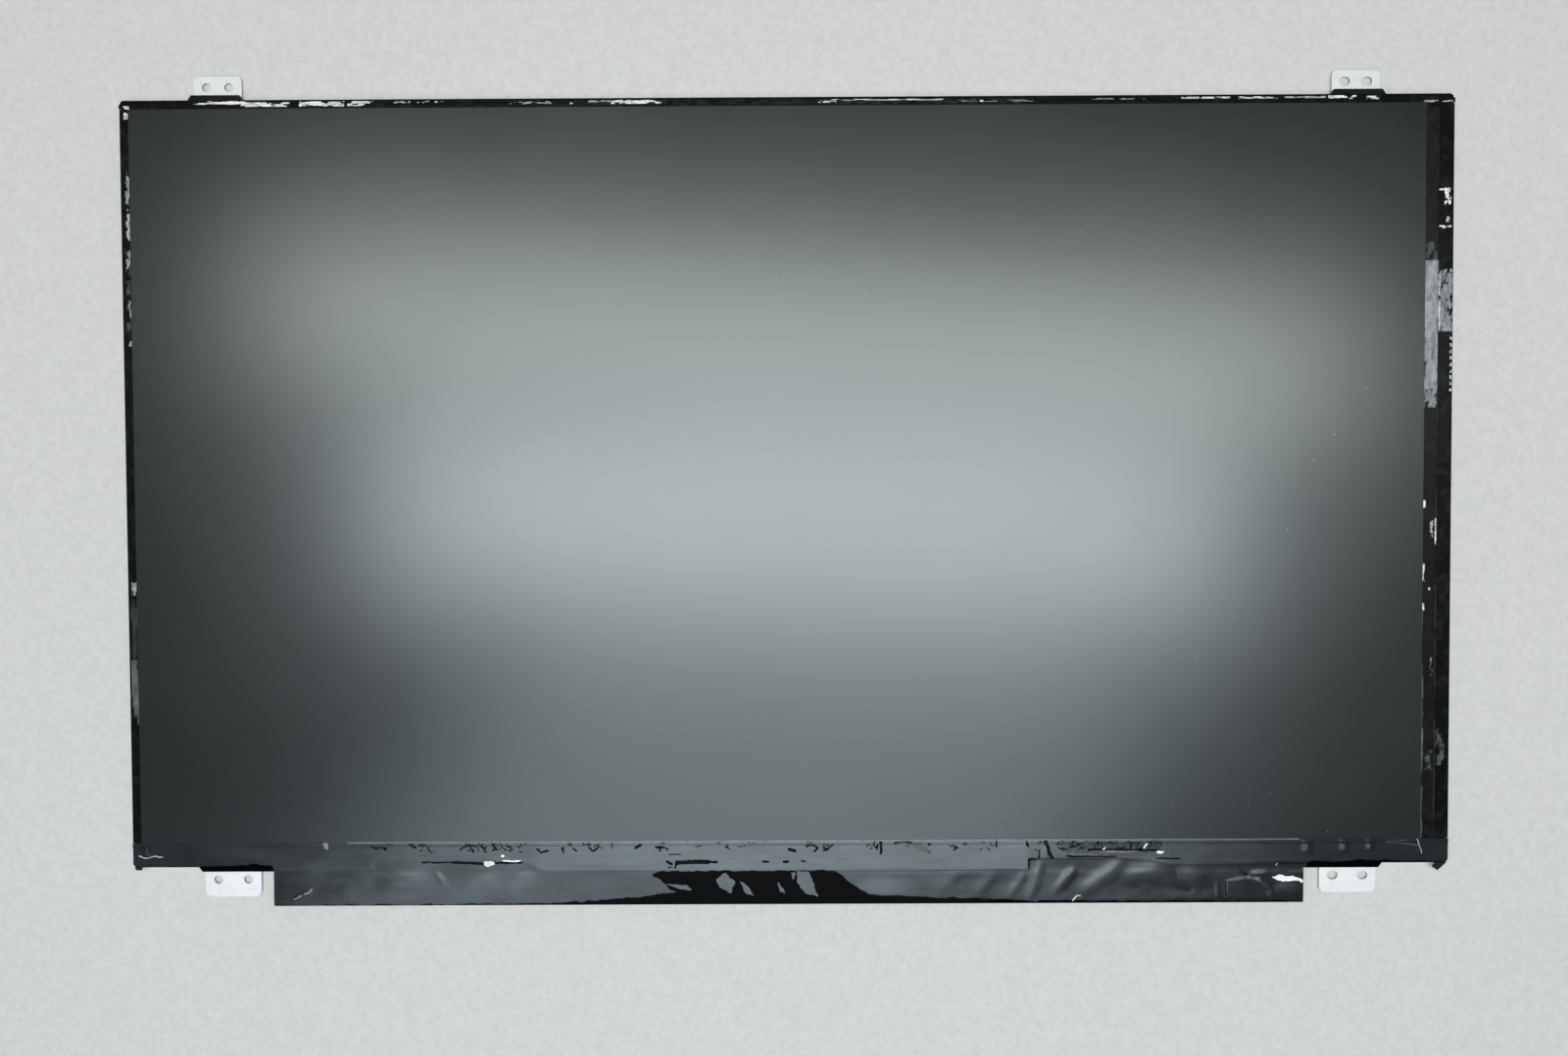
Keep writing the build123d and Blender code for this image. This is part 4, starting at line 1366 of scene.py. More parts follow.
    # Cracks, and dark lines along the steps of the layers, all drawn near-black as painted shade.
    cracks_and_shadow_lines: tuple[Mark, ...] = each(
        Mark, (0.25, ((-86.8, -96.3), (-85.7, -96.7))),
        (0.22, ((-81.1, -96.5), (-80.2, -97.3), (-81.1, -97.8))), (0.20, ((-76.8, -96.7), (-75.8, -97.6))),
        (0.25, ((-69.1, -97.5), (-67.9, -98.4), (-66.1, -98.0))), (0.20, ((-62.2, -97.3), (-61.9, -98.4))),
        (0.20, ((-59.4, -97.3), (-58.3, -98.0))), (0.20, ((-55.1, -96.9), (-53.7, -98.2), (-52.2, -96.9))),
        (0.35, ((-42.1, -97.3), (-40.8, -96.4))), (0.30, ((-36.4, -97.2), (-34.5, -97.2))),
        (0.25, ((-35.4, -97.2), (-35.5, -98.1))), (0.30, ((-33.4, -101.1), (-32.4, -101.7))),
        (0.25, ((-33.1, -102.7), (-32.6, -102.6))),
        (0.55, ((-30.7, -101.4), (-25.6, -101.2), (-22.4, -101.2))),
        (0.30, ((-22.4, -101.2), (-19.9, -101.2))), (0.22, ((-30.9, -101.7), (-31.4, -102.7))),
        (0.12, ((-33.0, -99.1), (-29.9, -99.1)), 0.6), (0.25, ((-7.1, -101.1), (-5.9, -101.2))),
        (0.30, ((-1.6, -101.2), (-0.4, -101.2))), (0.20, ((3.4, -101.0), (4.2, -101.2))),
        (0.40, ((0.0, -97.8), (1.4, -98.2))),
        (0.20, ((4.6, -96.9), (6.4, -96.7), (7.7, -97.5), (6.7, -98.4))),
        (0.20, ((9.4, -98.3), (10.6, -97.7), (11.8, -96.5))), (0.20, ((9.2, -97.5), (10.6, -97.8))),
        (0.12, ((-14.2, -97.0), (-12.1, -96.9)), 0.6), (0.12, ((-25.6, -97.0), (-24.1, -96.6)), 0.6),
        (0.22, ((23.1, -96.8), (23.8, -97.8), (24.1, -96.6))), (0.30, ((24.9, -95.9), (25.0, -99.0))),
        (0.15, ((28.7, -96.1), (31.2, -95.9), (34.0, -96.2)), 0.8), (0.35, ((35.8, -97.4), (38.2, -98.6))),
        (0.25, ((44.7, -96.9), (45.5, -97.6), (45.0, -98.1))), (0.15, ((47.2, -96.6), (48.2, -96.4))),
        (0.22, ((56.5, -95.9), (56.6, -97.3)), 0.8), (0.20, ((68.1, -98.3), (68.3, -100.7)), 0.7),
        (0.42, ((69.9, -95.6), (70.5, -97.3), (70.8, -98.9), (71.8, -100.5))),
        (0.28, ((64.7, -95.6), (65.1, -97.2)), 0.9), (0.25, ((65.3, -100.9), (67.4, -100.75)), 0.8),
        (0.22, ((65.5, -100.9), (65.3, -103.4)), 0.7),
        (0.22, ((75.8, -100.0), (85.2, -100.2), (89.2, -100.1)), 0.7),
        (0.28, ((81.7, -98.2), (91.8, -98.25), (101.0, -98.5)), 0.9),
        (0.20, ((84.9, -96.3), (85.7, -97.9)), 0.8), (0.18, ((91.8, -97.3), (90.5, -98.2)), 0.8),
        (0.18, ((93.3, -96.4), (92.9, -97.5)), 0.8), (0.20, ((98.8, -96.1), (95.1, -98.3)), 0.7),
        (0.22, ((76.9, -97.3), (77.9, -97.5), (80.1, -96.3)), 0.9),
        (0.18, ((73.6, -97.8), (75.2, -98.2)), 0.7), (0.16, ((87.4, -96.0), (88.6, -96.8)), 0.7),
        (0.24, ((100.4, -100.75), (106.6, -100.8)), 0.6), (0.16, ((119.1, -106.9), (119.2, -112.2)), 0.7),
        (0.20, ((132.9, -102.1), (140.2, -102.2)), 0.7), (0.25, ((124.2, -104.7), (125.0, -105.4)), 0.8),
        (0.20, ((-114.4, -96.6), (-113.0, -97.3)), 0.8), (0.18, ((-111.5, -96.9), (-110.5, -97.6)), 0.8),
        (0.20, ((-104.0, -96.0), (-102.6, -96.9)), 0.8),
        (0.18, ((-101.1, -96.3), (-99.0, -96.5), (-98.3, -98.0)), 0.8),
        (0.22, ((-90.0, -97.3), (-87.5, -96.2), (-86.5, -98.3)), 0.9),
        (0.20, ((-84.7, -96.2), (-83.3, -97.6)), 0.9), (0.20, ((-100.5, -101.0), (-91.9, -101.1)), 0.8),
        (0.35, ((-91.9, -101.1), (-83.6, -101.4)), 0.9),
        (0.28, ((-80.4, -101.2), (-76.2, -101.25), (-73.4, -101.1))),
        (0.15, ((-175.4, -96.5), (-175.2, -98.2)), 0.8))

    def end_reach(self, across: Grid, ends: float, shelf: float, chin: float) -> Grid:
        """How far down the tape reaches at each column, before it goes on over the board.

        Args:
            across: Places of the columns.
            ends: Half the length of the tape.
            shelf: Reach beside the lip of the frame.
            chin: Reach over the lip of the frame.

        Returns:
            The reach at each column.
        """
        chin_half = min(abs(corner[0]) for corner in corners_of("back_cover")) - self.chin_inset
        lip = 1 - ease(np.abs(across), chin_half, chin_half + self.chin_slope)
        over = np.clip(np.abs(across) - (ends - self.corner), 0.0, self.corner)
        return shelf + (chin - shelf) * lip - self.corner + np.sqrt(self.corner ** 2 - over ** 2)

    def grid(self) -> Drape:
        """Lay the grid over the strip beside the screen and over the board.

        Returns:
            The grid.
        """
        level, lip_level = (corners_of(node)[1][2] for node in ("driver_films", "colour_filter_glass"))
        top, low, _, right = Edge.BOTTOM.extent(self.node)
        board_low, board_high = corners_of("driver_board")
        first, last = board_low[0] - self.board_margin, board_high[0] + self.board_margin
        chin = Edge.BOTTOM.extent("mid_frame")[1]
        shelf = Edge.BOTTOM.extent("tft_glass")[1] + self.shelf_reach
        ends = right - self.room
        flat = np.arange(-ends + self.corner, ends - self.corner, self.pitch)
        rounds = ends - self.corner + self.corner * np.sin(np.linspace(0.0, math.pi / 2, 6))
        drop = ends + np.array([0.06, 0.5, 1.2, self.skirt])
        run = np.concatenate([-drop[::-1], -rounds[::-1], flat[1:], rounds, drop])
        run = np.sort(np.concatenate([run, [first, last]]))
        across = np.clip(run, -ends, ends)
        down = np.maximum(np.abs(run) - ends, 0.0)

        strip = folded([(top, lip_level), (top + self.lip, lip_level), (top + self.lip + self.slope, level),
                        (self.stretch_from, level)], 0.1, 0.34)
        stretch = np.linspace(0.0, 1.0, 7)[1:]
        fold = low - self.room
        board = folded([(chin, level), (fold, level), (fold, board_low[2])], 0.14, 0.34)[1:]
        limit = self.end_reach(across, ends, shelf, chin)
        reach = np.concatenate([
            np.repeat(strip[:, :1], len(run), 1),
            self.stretch_from + stretch[:, None] * (limit - self.stretch_from),
            np.repeat(board[:, :1], len(run), 1)])
        between = np.stack([self.stretch_from + stretch, np.full(len(stretch), level)], 1)
        path = np.concatenate([strip, between, board])
        height = np.repeat(path[:, 1:], len(run), 1) - down
        steps = [(self.stretch_from + 1.0 + k, level) for k in range(len(stretch))]
        rows = left_normals(np.concatenate([strip, steps, board + np.array([len(stretch), 0.0])]))

        normal = np.zeros((len(path), len(run), 3))
        normal[..., 1] = -rows[:, :1]
        normal[..., 2] = rows[:, 1:]
        tilt = np.clip(down / 0.12, 0.0, 1.0)
        normal *= (1 - tilt)[:, None]
        normal[..., 0] += np.sign(run) * tilt
        normal /= np.linalg.norm(normal, axis=2, keepdims=True)

        middle = (run[1:] + run[:-1]) / 2
        keep = np.ones((len(path) - 1, len(run) - 1), bool)
        on_board = (middle > first) & (middle < last)
        keep[len(strip) + len(stretch) - 1:] &= on_board
        folded_down = np.abs(middle) > ends
        beside = (strip[:-1, 0] > top + self.lip + self.slope) & (strip[1:, 0] <= self.stretch_from)
        keep[:len(strip) - 1] &= ~folded_down | beside[:, None]
        keep[len(strip) - 1:] &= ~folded_down
        base = np.stack([np.repeat(across[None], len(path), 0), -reach, height], -1)
        return Drape(base, normal, keep)

    def above_layer(self, x: Grid, y: Grid) -> Grid:
        """How far places lie above the lower edge of the upper layer."""
        return y - np.interp(x, *zip(*self.layer_edge))

    def relief(self, drape: Drape) -> Grid:
        """Height of the tape above what it lies on: an upper layer, wrinkles and slack.

        Args:
            drape: The grid of the tape.

        Returns:
            The height at each grid point, in millimetres.
        """
        x, y = drape.x, drape.y
        slack, fine = Ripple(SLACK_SEED, 2), Ripple(FINE_SEED, 2)
        wander = 0.12 * Ripple(LAYER_SEED, 2).at(x, y * 0, 5.0, 1.0)
        lift = self.layer_rise * ease(self.above_layer(x, y) + wander, -0.2, 0.16)
        on_board = ease(-y, 103.2, 105.0)
        calm = 1 - 0.7 * ease(x, -74.0, -64.0) * (1 - ease(x, 36.0, 48.0))
        loose = calm * (0.06 * slack.at(x, y, 9.0, 5.0) + 0.012 * fine.at(x, y, 2.6, 1.8))
        lift += on_board * (0.06 + loose) + 0.006 * (1 + fine.at(x, y, 3.4, 1.2))
        lift += self.creased(x, y) + 0.08 * ease(depth_inside(x, y, self.raised_patch), -0.1, 0.3)
        lift = np.where(inside(x, y, self.bare_patch), 0.03, lift)
        lift *= 1 - 0.94 * ease(-y, 111.9, 112.75)
        lift *= np.where(np.abs(drape.normal[..., 0]) > 0.3, 0.1, 1.0)
        ceiling = corners_of("top_edge_tape")[1][2] - self.gauge - 0.01
        steep = np.abs(drape.normal[..., :2]).max(-1) > 0.5
        headroom = np.where(steep, self.room - self.gauge - 0.005, ceiling - drape.base[..., 2])
        return np.clip(lift, 0.0, headroom)

    def creased(self, x: Grid, y: Grid) -> Grid:
        """Height that all the wrinkles add at each place."""
        return sum(wrinkle.rise(x, y) for wrinkle in self.wrinkles)

    def paint(self, drape: Drape) -> dict[str, Grid]:
        """Where the tape is hazed, with wear and painted highlight on its crests, painted shade in its
        troughs and an oval of painted highlight, and where it is bare and glossy or near-black as painted
        shadow bands.

        Args:
            drape: The grid of the tape.

        Returns:
            The two values at each grid point, by name.
        """
        x, y = drape.x, drape.y
        smear, rag = Ripple(SMEAR_SEED, 3), Ripple(RAG_SEED, 3)
        upper = ease(self.above_layer(x, y), -0.15, 0.15)
        right = 1 - ease(x, 62.0, 150.0)
        main = ease(x, -71.0, -67.0) * (1 - ease(x, 64.5, 66.0)) * upper
        board = ease(x, -160.0, -80.0) * (0.22 - 0.06 * ease(x, -74.0, -64.0) - 0.10 * ease(x, 28.0, 48.0))
        strip = 0.34 * ease(x, -158.0, -64.0)
        haze = 0.02 + right * (board + (strip - board) * upper)
        haze = haze + 0.09 * right * ease(x, -200.0, -95.0) * smear.at(x, y, 12.0, 5.0)
        haze = haze + 0.02 * upper + 0.16 * main
        # Haze that follows the wrinkle heights: wear and painted highlight on the crests, painted shade where
        # wrinkles dip.
        haze = haze + 0.45 * ease(-y, 99.5, 101.5) * np.clip(self.creased(x, y), -0.15, 0.5)
        haze = haze + self.frayed.level * self.frayed.strength(x, y, rag)
        # An oval of extra haze that is a painted highlight on the board tape.
        haze = haze + 0.3 * (1 - ease(oval(x, y, (25.5, -108.0), (10.0, 3.2)), 0.3, 1.1))
        # Bare tape inside the peeled patch, and painted shadow inside the corner bands.
        ragged_x, ragged_y = x + 0.4 * rag.at(x, y, 2.0, 2.0), y + 0.3 * rag.at(y, x, 2.0, 2.0)
        depths = [depth_inside(ragged_x, ragged_y, patch) for patch in (self.bare_patch, *self.painted_shadow_bands)]
        gloss = 0.5 + np.maximum.reduce(depths) / 1.2
        return {"haze": np.clip(haze, 0.0, 1.0), "gloss": np.clip(gloss, 0.0, 1.0)}

    def crazing(self) -> list[Mark]:
        """Short fine cracks, drawn near-black as painted shade inside them, scattered where the film beside
        the screen is worn.

        Returns:
            The cracks.
        """
        draw = np.random.default_rng(CRAZE_SEED)
        marks = []
        for first, last, count in self.crazed:
            for _ in range(count):
                points = [(draw.uniform(first, last), draw.uniform(*self.crazed_rows))]
                turn = draw.uniform(0.0, math.pi)
                for _ in range(2):
                    turn, step = turn + draw.uniform(-0.9, 0.9), draw.uniform(0.25, 0.6)
                    x, y = points[-1]
                    points.append((x + step * math.cos(turn), y + step * math.sin(turn)))
                marks.append(Mark(draw.uniform(0.08, 0.14), tuple(points), draw.uniform(0.7, 1.0)))
        return marks

    def build(self) -> None:
        """Make the tape; near-black patches of painted shade in its cracks, along its steps and round the
        long tear; pale patches of torn backing, scuffs and painted glints; what is left on it; and its two
        torn ends.
        """
        drape = self.grid()
        lift = self.relief(drape)
        tape = drape.layer(self.node, lift, self.gauge, self.paint(drape))
        shown("wrinkled_board_tape", tape, BOARD_TAPE, self.node)
        film = drape.raised(lift + self.gauge - PATCH_SINK)
        cracks_and_shadow_lines, flakes, bared, torn_and_glints = Cutting("tone"), Cutting("haze"), Cutting("tone"), Cutting("tone")
        # Cracks, step lines and a patch grown round the long tear are cut as near-black painted shade.
        cracks_and_shadow_lines.add_marks(film, [*self.cracks_and_shadow_lines, *self.crazing()], self.crack_and_shadow_gauge)
        cracks_and_shadow_lines.add_patch(film, self.long_tear, self.shade_gauge, grow=self.shade_reach)
        for flake in self.left_flakes:
            flakes.add_patch(film, flake, self.flake_gauge, self.flake_haze)
        bared.add_patch(film, self.bared_film, self.flake_gauge)
        torn_and_glints.add_marks(film, self.scuffs_and_glints, self.scuff_and_glint_gauge)
        torn_and_glints.add_patch(film, self.long_tear, self.tear_and_glint_gauge)
        turns = np.linspace(0.0, 2 * math.pi, 25)[:-1]
        for (x, y), (across, up) in self.tears_and_glints:
            rim = [(x + across * math.cos(turn), y + up * math.sin(turn)) for turn in turns]
            torn_and_glints.add_patch(film, rim, self.tear_and_glint_gauge)
        shown("board_tape_crack_and_step_shade", cracks_and_shadow_lines.mesh("cracks_and_shadow_lines"), CRACK_AND_STEP_SHADE)
        shown("left_film_flakes", flakes.mesh("flakes"), BOARD_TAPE)
        shown("bared_film_patch", bared.mesh("bared film"), BARED_FILM)
        shown("board_tape_tears_and_glints", torn_and_glints.mesh("tears_and_glints"), TORN_AND_GLINTS)
        self.torn_end("torn_tape_tail", self.torn_tail, 0.14)
        self.torn_end("torn_tape_stub", self.torn_stub, 0.08)

    def torn_end(self, name: str, corners: Sequence[Point], curl: float) -> None:
        """A small torn end of tape that stands out past the corner and curls.

        Args:
            name: Name of the piece.
            corners: Its corners: root, outer root, far end, outer far end.
            curl: How far its free edge droops.
        """
        level = corners_of("driver_films")[1][2]
        root, outer_root, far, outer_far = (np.array(corner) for corner in corners)
        across, along = np.meshgrid(np.linspace(0.0, 1.0, 9), np.linspace(0.0, 1.0, 13), indexing="ij")
        ragged = 0.05 * Ripple(TORN_SEED, 2).at(across * 4, along * 4, 1.0, 1.0) * np.sin(math.pi * across)
        share = np.clip(along + ragged, 0.0, 1.0)
        a, b = across[..., None], share[..., None]
        flat = (1 - a) * ((1 - b) * root + b * far) + a * ((1 - b) * outer_root + b * outer_far)
        height = level + 0.01 - curl * across ** 2
        inner = np.concatenate([flat, height[..., None]], -1)
        outer = inner + self.gauge * UP
        whole = np.ones((across.shape[0] - 1, across.shape[1] - 1), bool)
        mesh = closed_sheet(name, inner, outer, whole, {"haze": np.full(across.shape, 0.03)})
        shown(name, mesh, BOARD_TAPE)


class Recipe(Tree):
    """A Geometry Nodes tree that turns a few points into finished, real geometry."""

    def __init__(self, name: str) -> None:
        """Start a tree with a way in and a way out.

        Args:
            name: Name of the tree.
        """
        group = bpy.data.node_groups.new(name, "GeometryNodeTree")
        super().__init__(group)
        group.interface.new_socket(name="Geometry", in_out="INPUT", socket_type="NodeSocketGeometry")
        group.interface.new_socket(name="Geometry", in_out="OUTPUT", socket_type="NodeSocketGeometry")
        self.entry = self.node("NodeGroupInput")
        self.given: dict[str, Any] = {}

    def size(self, name: str, amount: Any) -> Value:
        """Add a named input.

        Args:
            name: The input's name.
            amount: Its value: a number, a whole number, a vector or a material.

        Returns:
            The input as a value of the tree.
        """
        kinds = {float: "NodeSocketFloat", int: "NodeSocketInt", tuple: "NodeSocketVector"}
        kind = kinds.get(type(amount), "NodeSocketMaterial")
        socket = self.tree.interface.new_socket(name=name, in_out="INPUT", socket_type=kind)
        self.given[socket.identifier] = amount
        return Value(self, self.socket(self.entry.outputs, socket.identifier))

    def points(self) -> Value:
        """The points or lines that the tree is given."""
        return Value(self, self.entry.outputs[0])

    def join(self, *parts: Value) -> Value:
        """Put several geometries together.

        Args:
            parts: The geometries.

        Returns:
            All of them as one.
        """
        joined = self.node("GeometryNodeJoinGeometry")
        for part in parts:
            self.tree.links.new(part.socket, joined.inputs[0])
        return Value(self, joined.outputs[0])

    def moved(self, geometry: Value, offset: Any, turn: Colour = (0.0, 0.0, 0.0)) -> Value:
        """A geometry moved and turned."""
        return self.value("GeometryNodeTransform", inputs={
            "Geometry": geometry, "Translation": offset, "Rotation": turn})

    def block(self, name: str, *sizes: float) -> Value:
        """A block of a named size, given in millimetres."""
        return self.value("GeometryNodeMeshCube", inputs={"Size": self.size(name, metres(*sizes))})

    def disc(self, name: str, sides: int, radius: float, height: float) -> Value:
        """A round disc of a named size, given in millimetres.

        Args:
            name: What the disc is.
            sides: Number of its sides.
            radius: Its radius.
            height: Its thickness.

        Returns:
            The disc.
        """
        return self.value("GeometryNodeMeshCylinder", inputs={
            "Vertices": sides, "Radius": self.size(name + " radius", radius * MILLIMETRE),
            "Depth": self.size(name + " height", height * MILLIMETRE)}, output="Mesh")

    def on_points(self, points: Value, shape: Value) -> Value:
        """A copy of a shape on every point."""
        return self.value("GeometryNodeInstanceOnPoints", inputs={"Points": points, "Instance": shape})

    def finish(self, geometry: Value, finish: Finish, source: bpy.types.Mesh, name: str, *nodes: str) -> None:
        """End the tree, run it and keep its result as a plain mesh.

        Args:
            geometry: What the tree makes.
            finish: Its finish.
            source: The points or lines to run the tree on.
            name: Name of the piece.
            nodes: The CAD nodes that it stands for.
        """
        real = self.value("GeometryNodeRealizeInstances", inputs={"Geometry": geometry})
        dressed = self.value("GeometryNodeSetMaterial", inputs={
            "Geometry": real, "Material": self.size("Finish", finish.material())})
        self.node("NodeGroupOutput", inputs={0: dressed})
        carrier = bpy.data.objects.new(name + " points", source)
        bpy.context.scene.collection.objects.link(carrier)
        modifier = carrier.modifiers.new(name, "NODES")
        modifier.node_group = self.tree
        for identifier, amount in self.given.items():
            modifier[identifier] = amount
        graph = bpy.context.evaluated_depsgraph_get()
        mesh = bpy.data.meshes.new_from_object(carrier.evaluated_get(graph))
        carrier.modifiers.clear()
        bpy.data.objects.remove(carrier)
        mesh.name = name
        shown(name, mesh, finish, *nodes)


def point_mesh(name: str, places: Sequence[Sequence[float]], lines: bool = False) -> bpy.types.Mesh:
    """A mesh of bare points in millimetres, joined into one line if asked.

    Args:
        name: Name of the mesh.
        places: Its points.
        lines: Whether to join them, in order.

    Returns:
        The mesh.
    """
    mesh = bpy.data.meshes.new(name)
    edges = [(place, place + 1) for place in range(len(places) - 1)] if lines else []
    mesh.from_pydata([[part * MILLIMETRE for part in place] for place in places], edges, [])
    return mesh


def metres(*sizes: float) -> tuple[float, ...]:
    """Sizes in millimetres as metres."""
    return tuple(size * MILLIMETRE for size in sizes)


def islands(node: bpy.types.Object) -> list[tuple[Grid, Grid]]:
    """Find the separate solids of a CAD node.

    Args:
        node: The node's object.

    Returns:
        Lowest and highest corner of each solid, in millimetres.
    """
    mesh = node.data
    spots = [tuple(round(part, 7) for part in vertex.co) for vertex in mesh.vertices]
    parent = {spot: spot for spot in spots}

    def root(spot: tuple[float, ...]) -> tuple[float, ...]:
        """The spot that stands for a whole solid.

        Args:
            spot: Any spot of the solid.

        Returns:
            The one that stands for it.
        """
        while parent[spot] != spot:
            parent[spot] = parent[parent[spot]]
            spot = parent[spot]
        return spot

    for polygon in mesh.polygons:
        first = root(spots[polygon.vertices[0]])
        for vertex in polygon.vertices[1:]:
            parent[root(spots[vertex])] = first
    groups: dict[tuple[float, ...], list[tuple[float, ...]]] = {}
    for spot in parent:
        groups.setdefault(root(spot), []).append(spot)
    corners = [np.array(group) / MILLIMETRE for group in groups.values()]
    return sorted(((group.min(0), group.max(0)) for group in corners), key=lambda box: tuple(box[0]))


@dataclass
class DriverBoard:
    """Small parts on the rear face of the driver board."""

    nodes: dict[str, bpy.types.Object]
    cap_share: float = 0.22
    cap_step: float = 0.02
    cap_overlap: float = 0.06
    foot_share: float = 0.55
    foot_sides: int = 10
    pad_gauge: float = 0.03
    lead_pitch: float = 0.5
    lead_size: Point = (0.24, 0.34)
    lead_gauge: float = 0.06
    test_pads: int = 46
    test_pad_sides: int = 20
    test_pad_radius: float = 0.32
    test_pad_gauge: float = 0.012
    test_pad_room: float = 0.7

    def chips(self, node: str, label: str, body: Finish) -> None:
        """Two-ended chips: bodies, plated ends and the solder that they sit on.

        Args:
            node: The CAD node with the chips.
            label: Name for the pieces.
            body: Finish of the bodies.
        """
        boxes = islands(self.nodes[node])
        low, high = boxes[0]
        length, width, height = (float(part) for part in high - low)
        source = point_mesh(label, [(a + b) / 2 for a, b in boxes])
        cap, radius = self.cap_share * length, self.foot_share * width

        recipe = Recipe(label + " bodies")
        inset = 2 * self.cap_step
        block = recipe.block("Body", length - self.cap_overlap, width - inset, height - inset)
        recipe.finish(recipe.on_points(recipe.points(), block), body, source, label + "_bodies", node)

        recipe = Recipe(label + " ends")
        end = recipe.block("End", cap, width, height)
        foot = recipe.disc("Solder", self.foot_sides, radius, self.pad_gauge)
        seat = metres(0.1 * cap, 0.0, (height - self.pad_gauge) / 2)
        rest = recipe.value("GeometryNodeTransform", inputs={
            "Geometry": foot, "Scale": recipe.size("Solder spread", ((0.5 * cap + 0.1) / radius, 1.0, 1.0)),
            "Translation": recipe.size("Solder seat", seat)})
        one = recipe.join(end, rest)
        reach = (length - cap) / 2
        there, back = (metres(side * reach, 0.0, 0.0) for side in (1, -1))
        pair = recipe.join(recipe.moved(one, recipe.size("Reach", there)),
                           recipe.moved(one, recipe.size("Reach back", back), HALF_TURN))
        recipe.finish(recipe.on_points(recipe.points(), pair), SOLDER, source, label + "_ends")

    def leads(self, node: str) -> None:
        """A ring of flat leads round a moulded chip.

        Args:
            node: The CAD node of the chip.
        """
        low, high = islands(self.nodes[node])[0]
        size = float(high[0] - low[0])
        count = int((size - 1.0) / self.lead_pitch)
        recipe = Recipe(node + " leads")
        pitch = recipe.size("Pitch", metres(self.lead_pitch, 0.0, 0.0))
        line = recipe.value("GeometryNodeMeshLine", inputs={
            "Count": recipe.size("Count", count), "Offset": pitch})
        lead = recipe.block("Lead", *self.lead_size, self.lead_gauge)
        row = recipe.moved(recipe.on_points(line, lead), recipe.size(
            "Row", metres(-self.lead_pitch * (count - 1) / 2, size / 2, 0.0)))
        ring = recipe.join(*(recipe.moved(row, (0.0, 0.0, 0.0), (0.0, 0.0, quarter * math.pi / 2))
                             for quarter in range(4)))
        middle = (low + high) / 2
        source = point_mesh(node + " place", [(middle[0], middle[1], high[2] - self.lead_gauge / 2)])
        recipe.finish(recipe.on_points(recipe.points(), ring), SOLDER, source, node + "_leads")

    def pads(self) -> None:
        """Gold test pads in two loose rows near the edges of the board."""
        low, high = corners_of("driver_board")
        draw = np.random.default_rng(PAD_SEED)
        places = []
        for place in np.linspace(low[0] + 5.0, high[0] - 5.0, self.test_pads):
            side = high[1] - 2.6 if len(places) % 2 else low[1] + 0.9
            places.append(np.array([place + draw.uniform(-1.2, 1.2), side, low[2] - self.test_pad_gauge / 2]))
        recipe = Recipe("test pads")
        pad = recipe.disc("Pad", self.test_pad_sides, self.test_pad_radius, self.test_pad_gauge)
        room, taken = self.test_pad_room, self.taken()
        clear = [place for place in places if not any(
            ((box_low - room < place) & (place < box_high + room))[:2].all() for box_low, box_high in taken)]
        recipe.finish(recipe.on_points(recipe.points(), pad), GOLD_PADS, point_mesh("test pads", clear),
                      "board_test_pads")

    def taken(self) -> list[tuple[Grid, Grid]]:
        """Corners of the boxes that other parts take up on the rear of the board.

        Returns:
            Lowest and highest corner of each box, in millimetres.
        """
        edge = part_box("driver_board")[1].y
        tail = np.array([vertex.co for vertex in self.nodes["led_strip"].data.vertices if vertex.co.y < edge])
        boxes = [(tail.min(0) / MILLIMETRE, tail.max(0) / MILLIMETRE)]
        for node in ("connector_shell", "connector_contacts", "timing_controller", "power_chip",
                     "backlight_chip", "memory_chip", "power_inductors", "large_capacitors",
                     "small_capacitors", "chip_resistors"):
            boxes += islands(self.nodes[node])
        return boxes

    def build(self) -> None:
        """Make all the small parts."""
        self.chips("large_capacitors", "large_capacitor", CAPACITOR_BODY)
        self.chips("small_capacitors", "small_capacitor", CAPACITOR_BODY)
        self.chips("chip_resistors", "chip_resistor", RESISTOR_BODY)
        for node in ("timing_controller", "power_chip", "backlight_chip"):
            self.leads(node)
        self.pads()


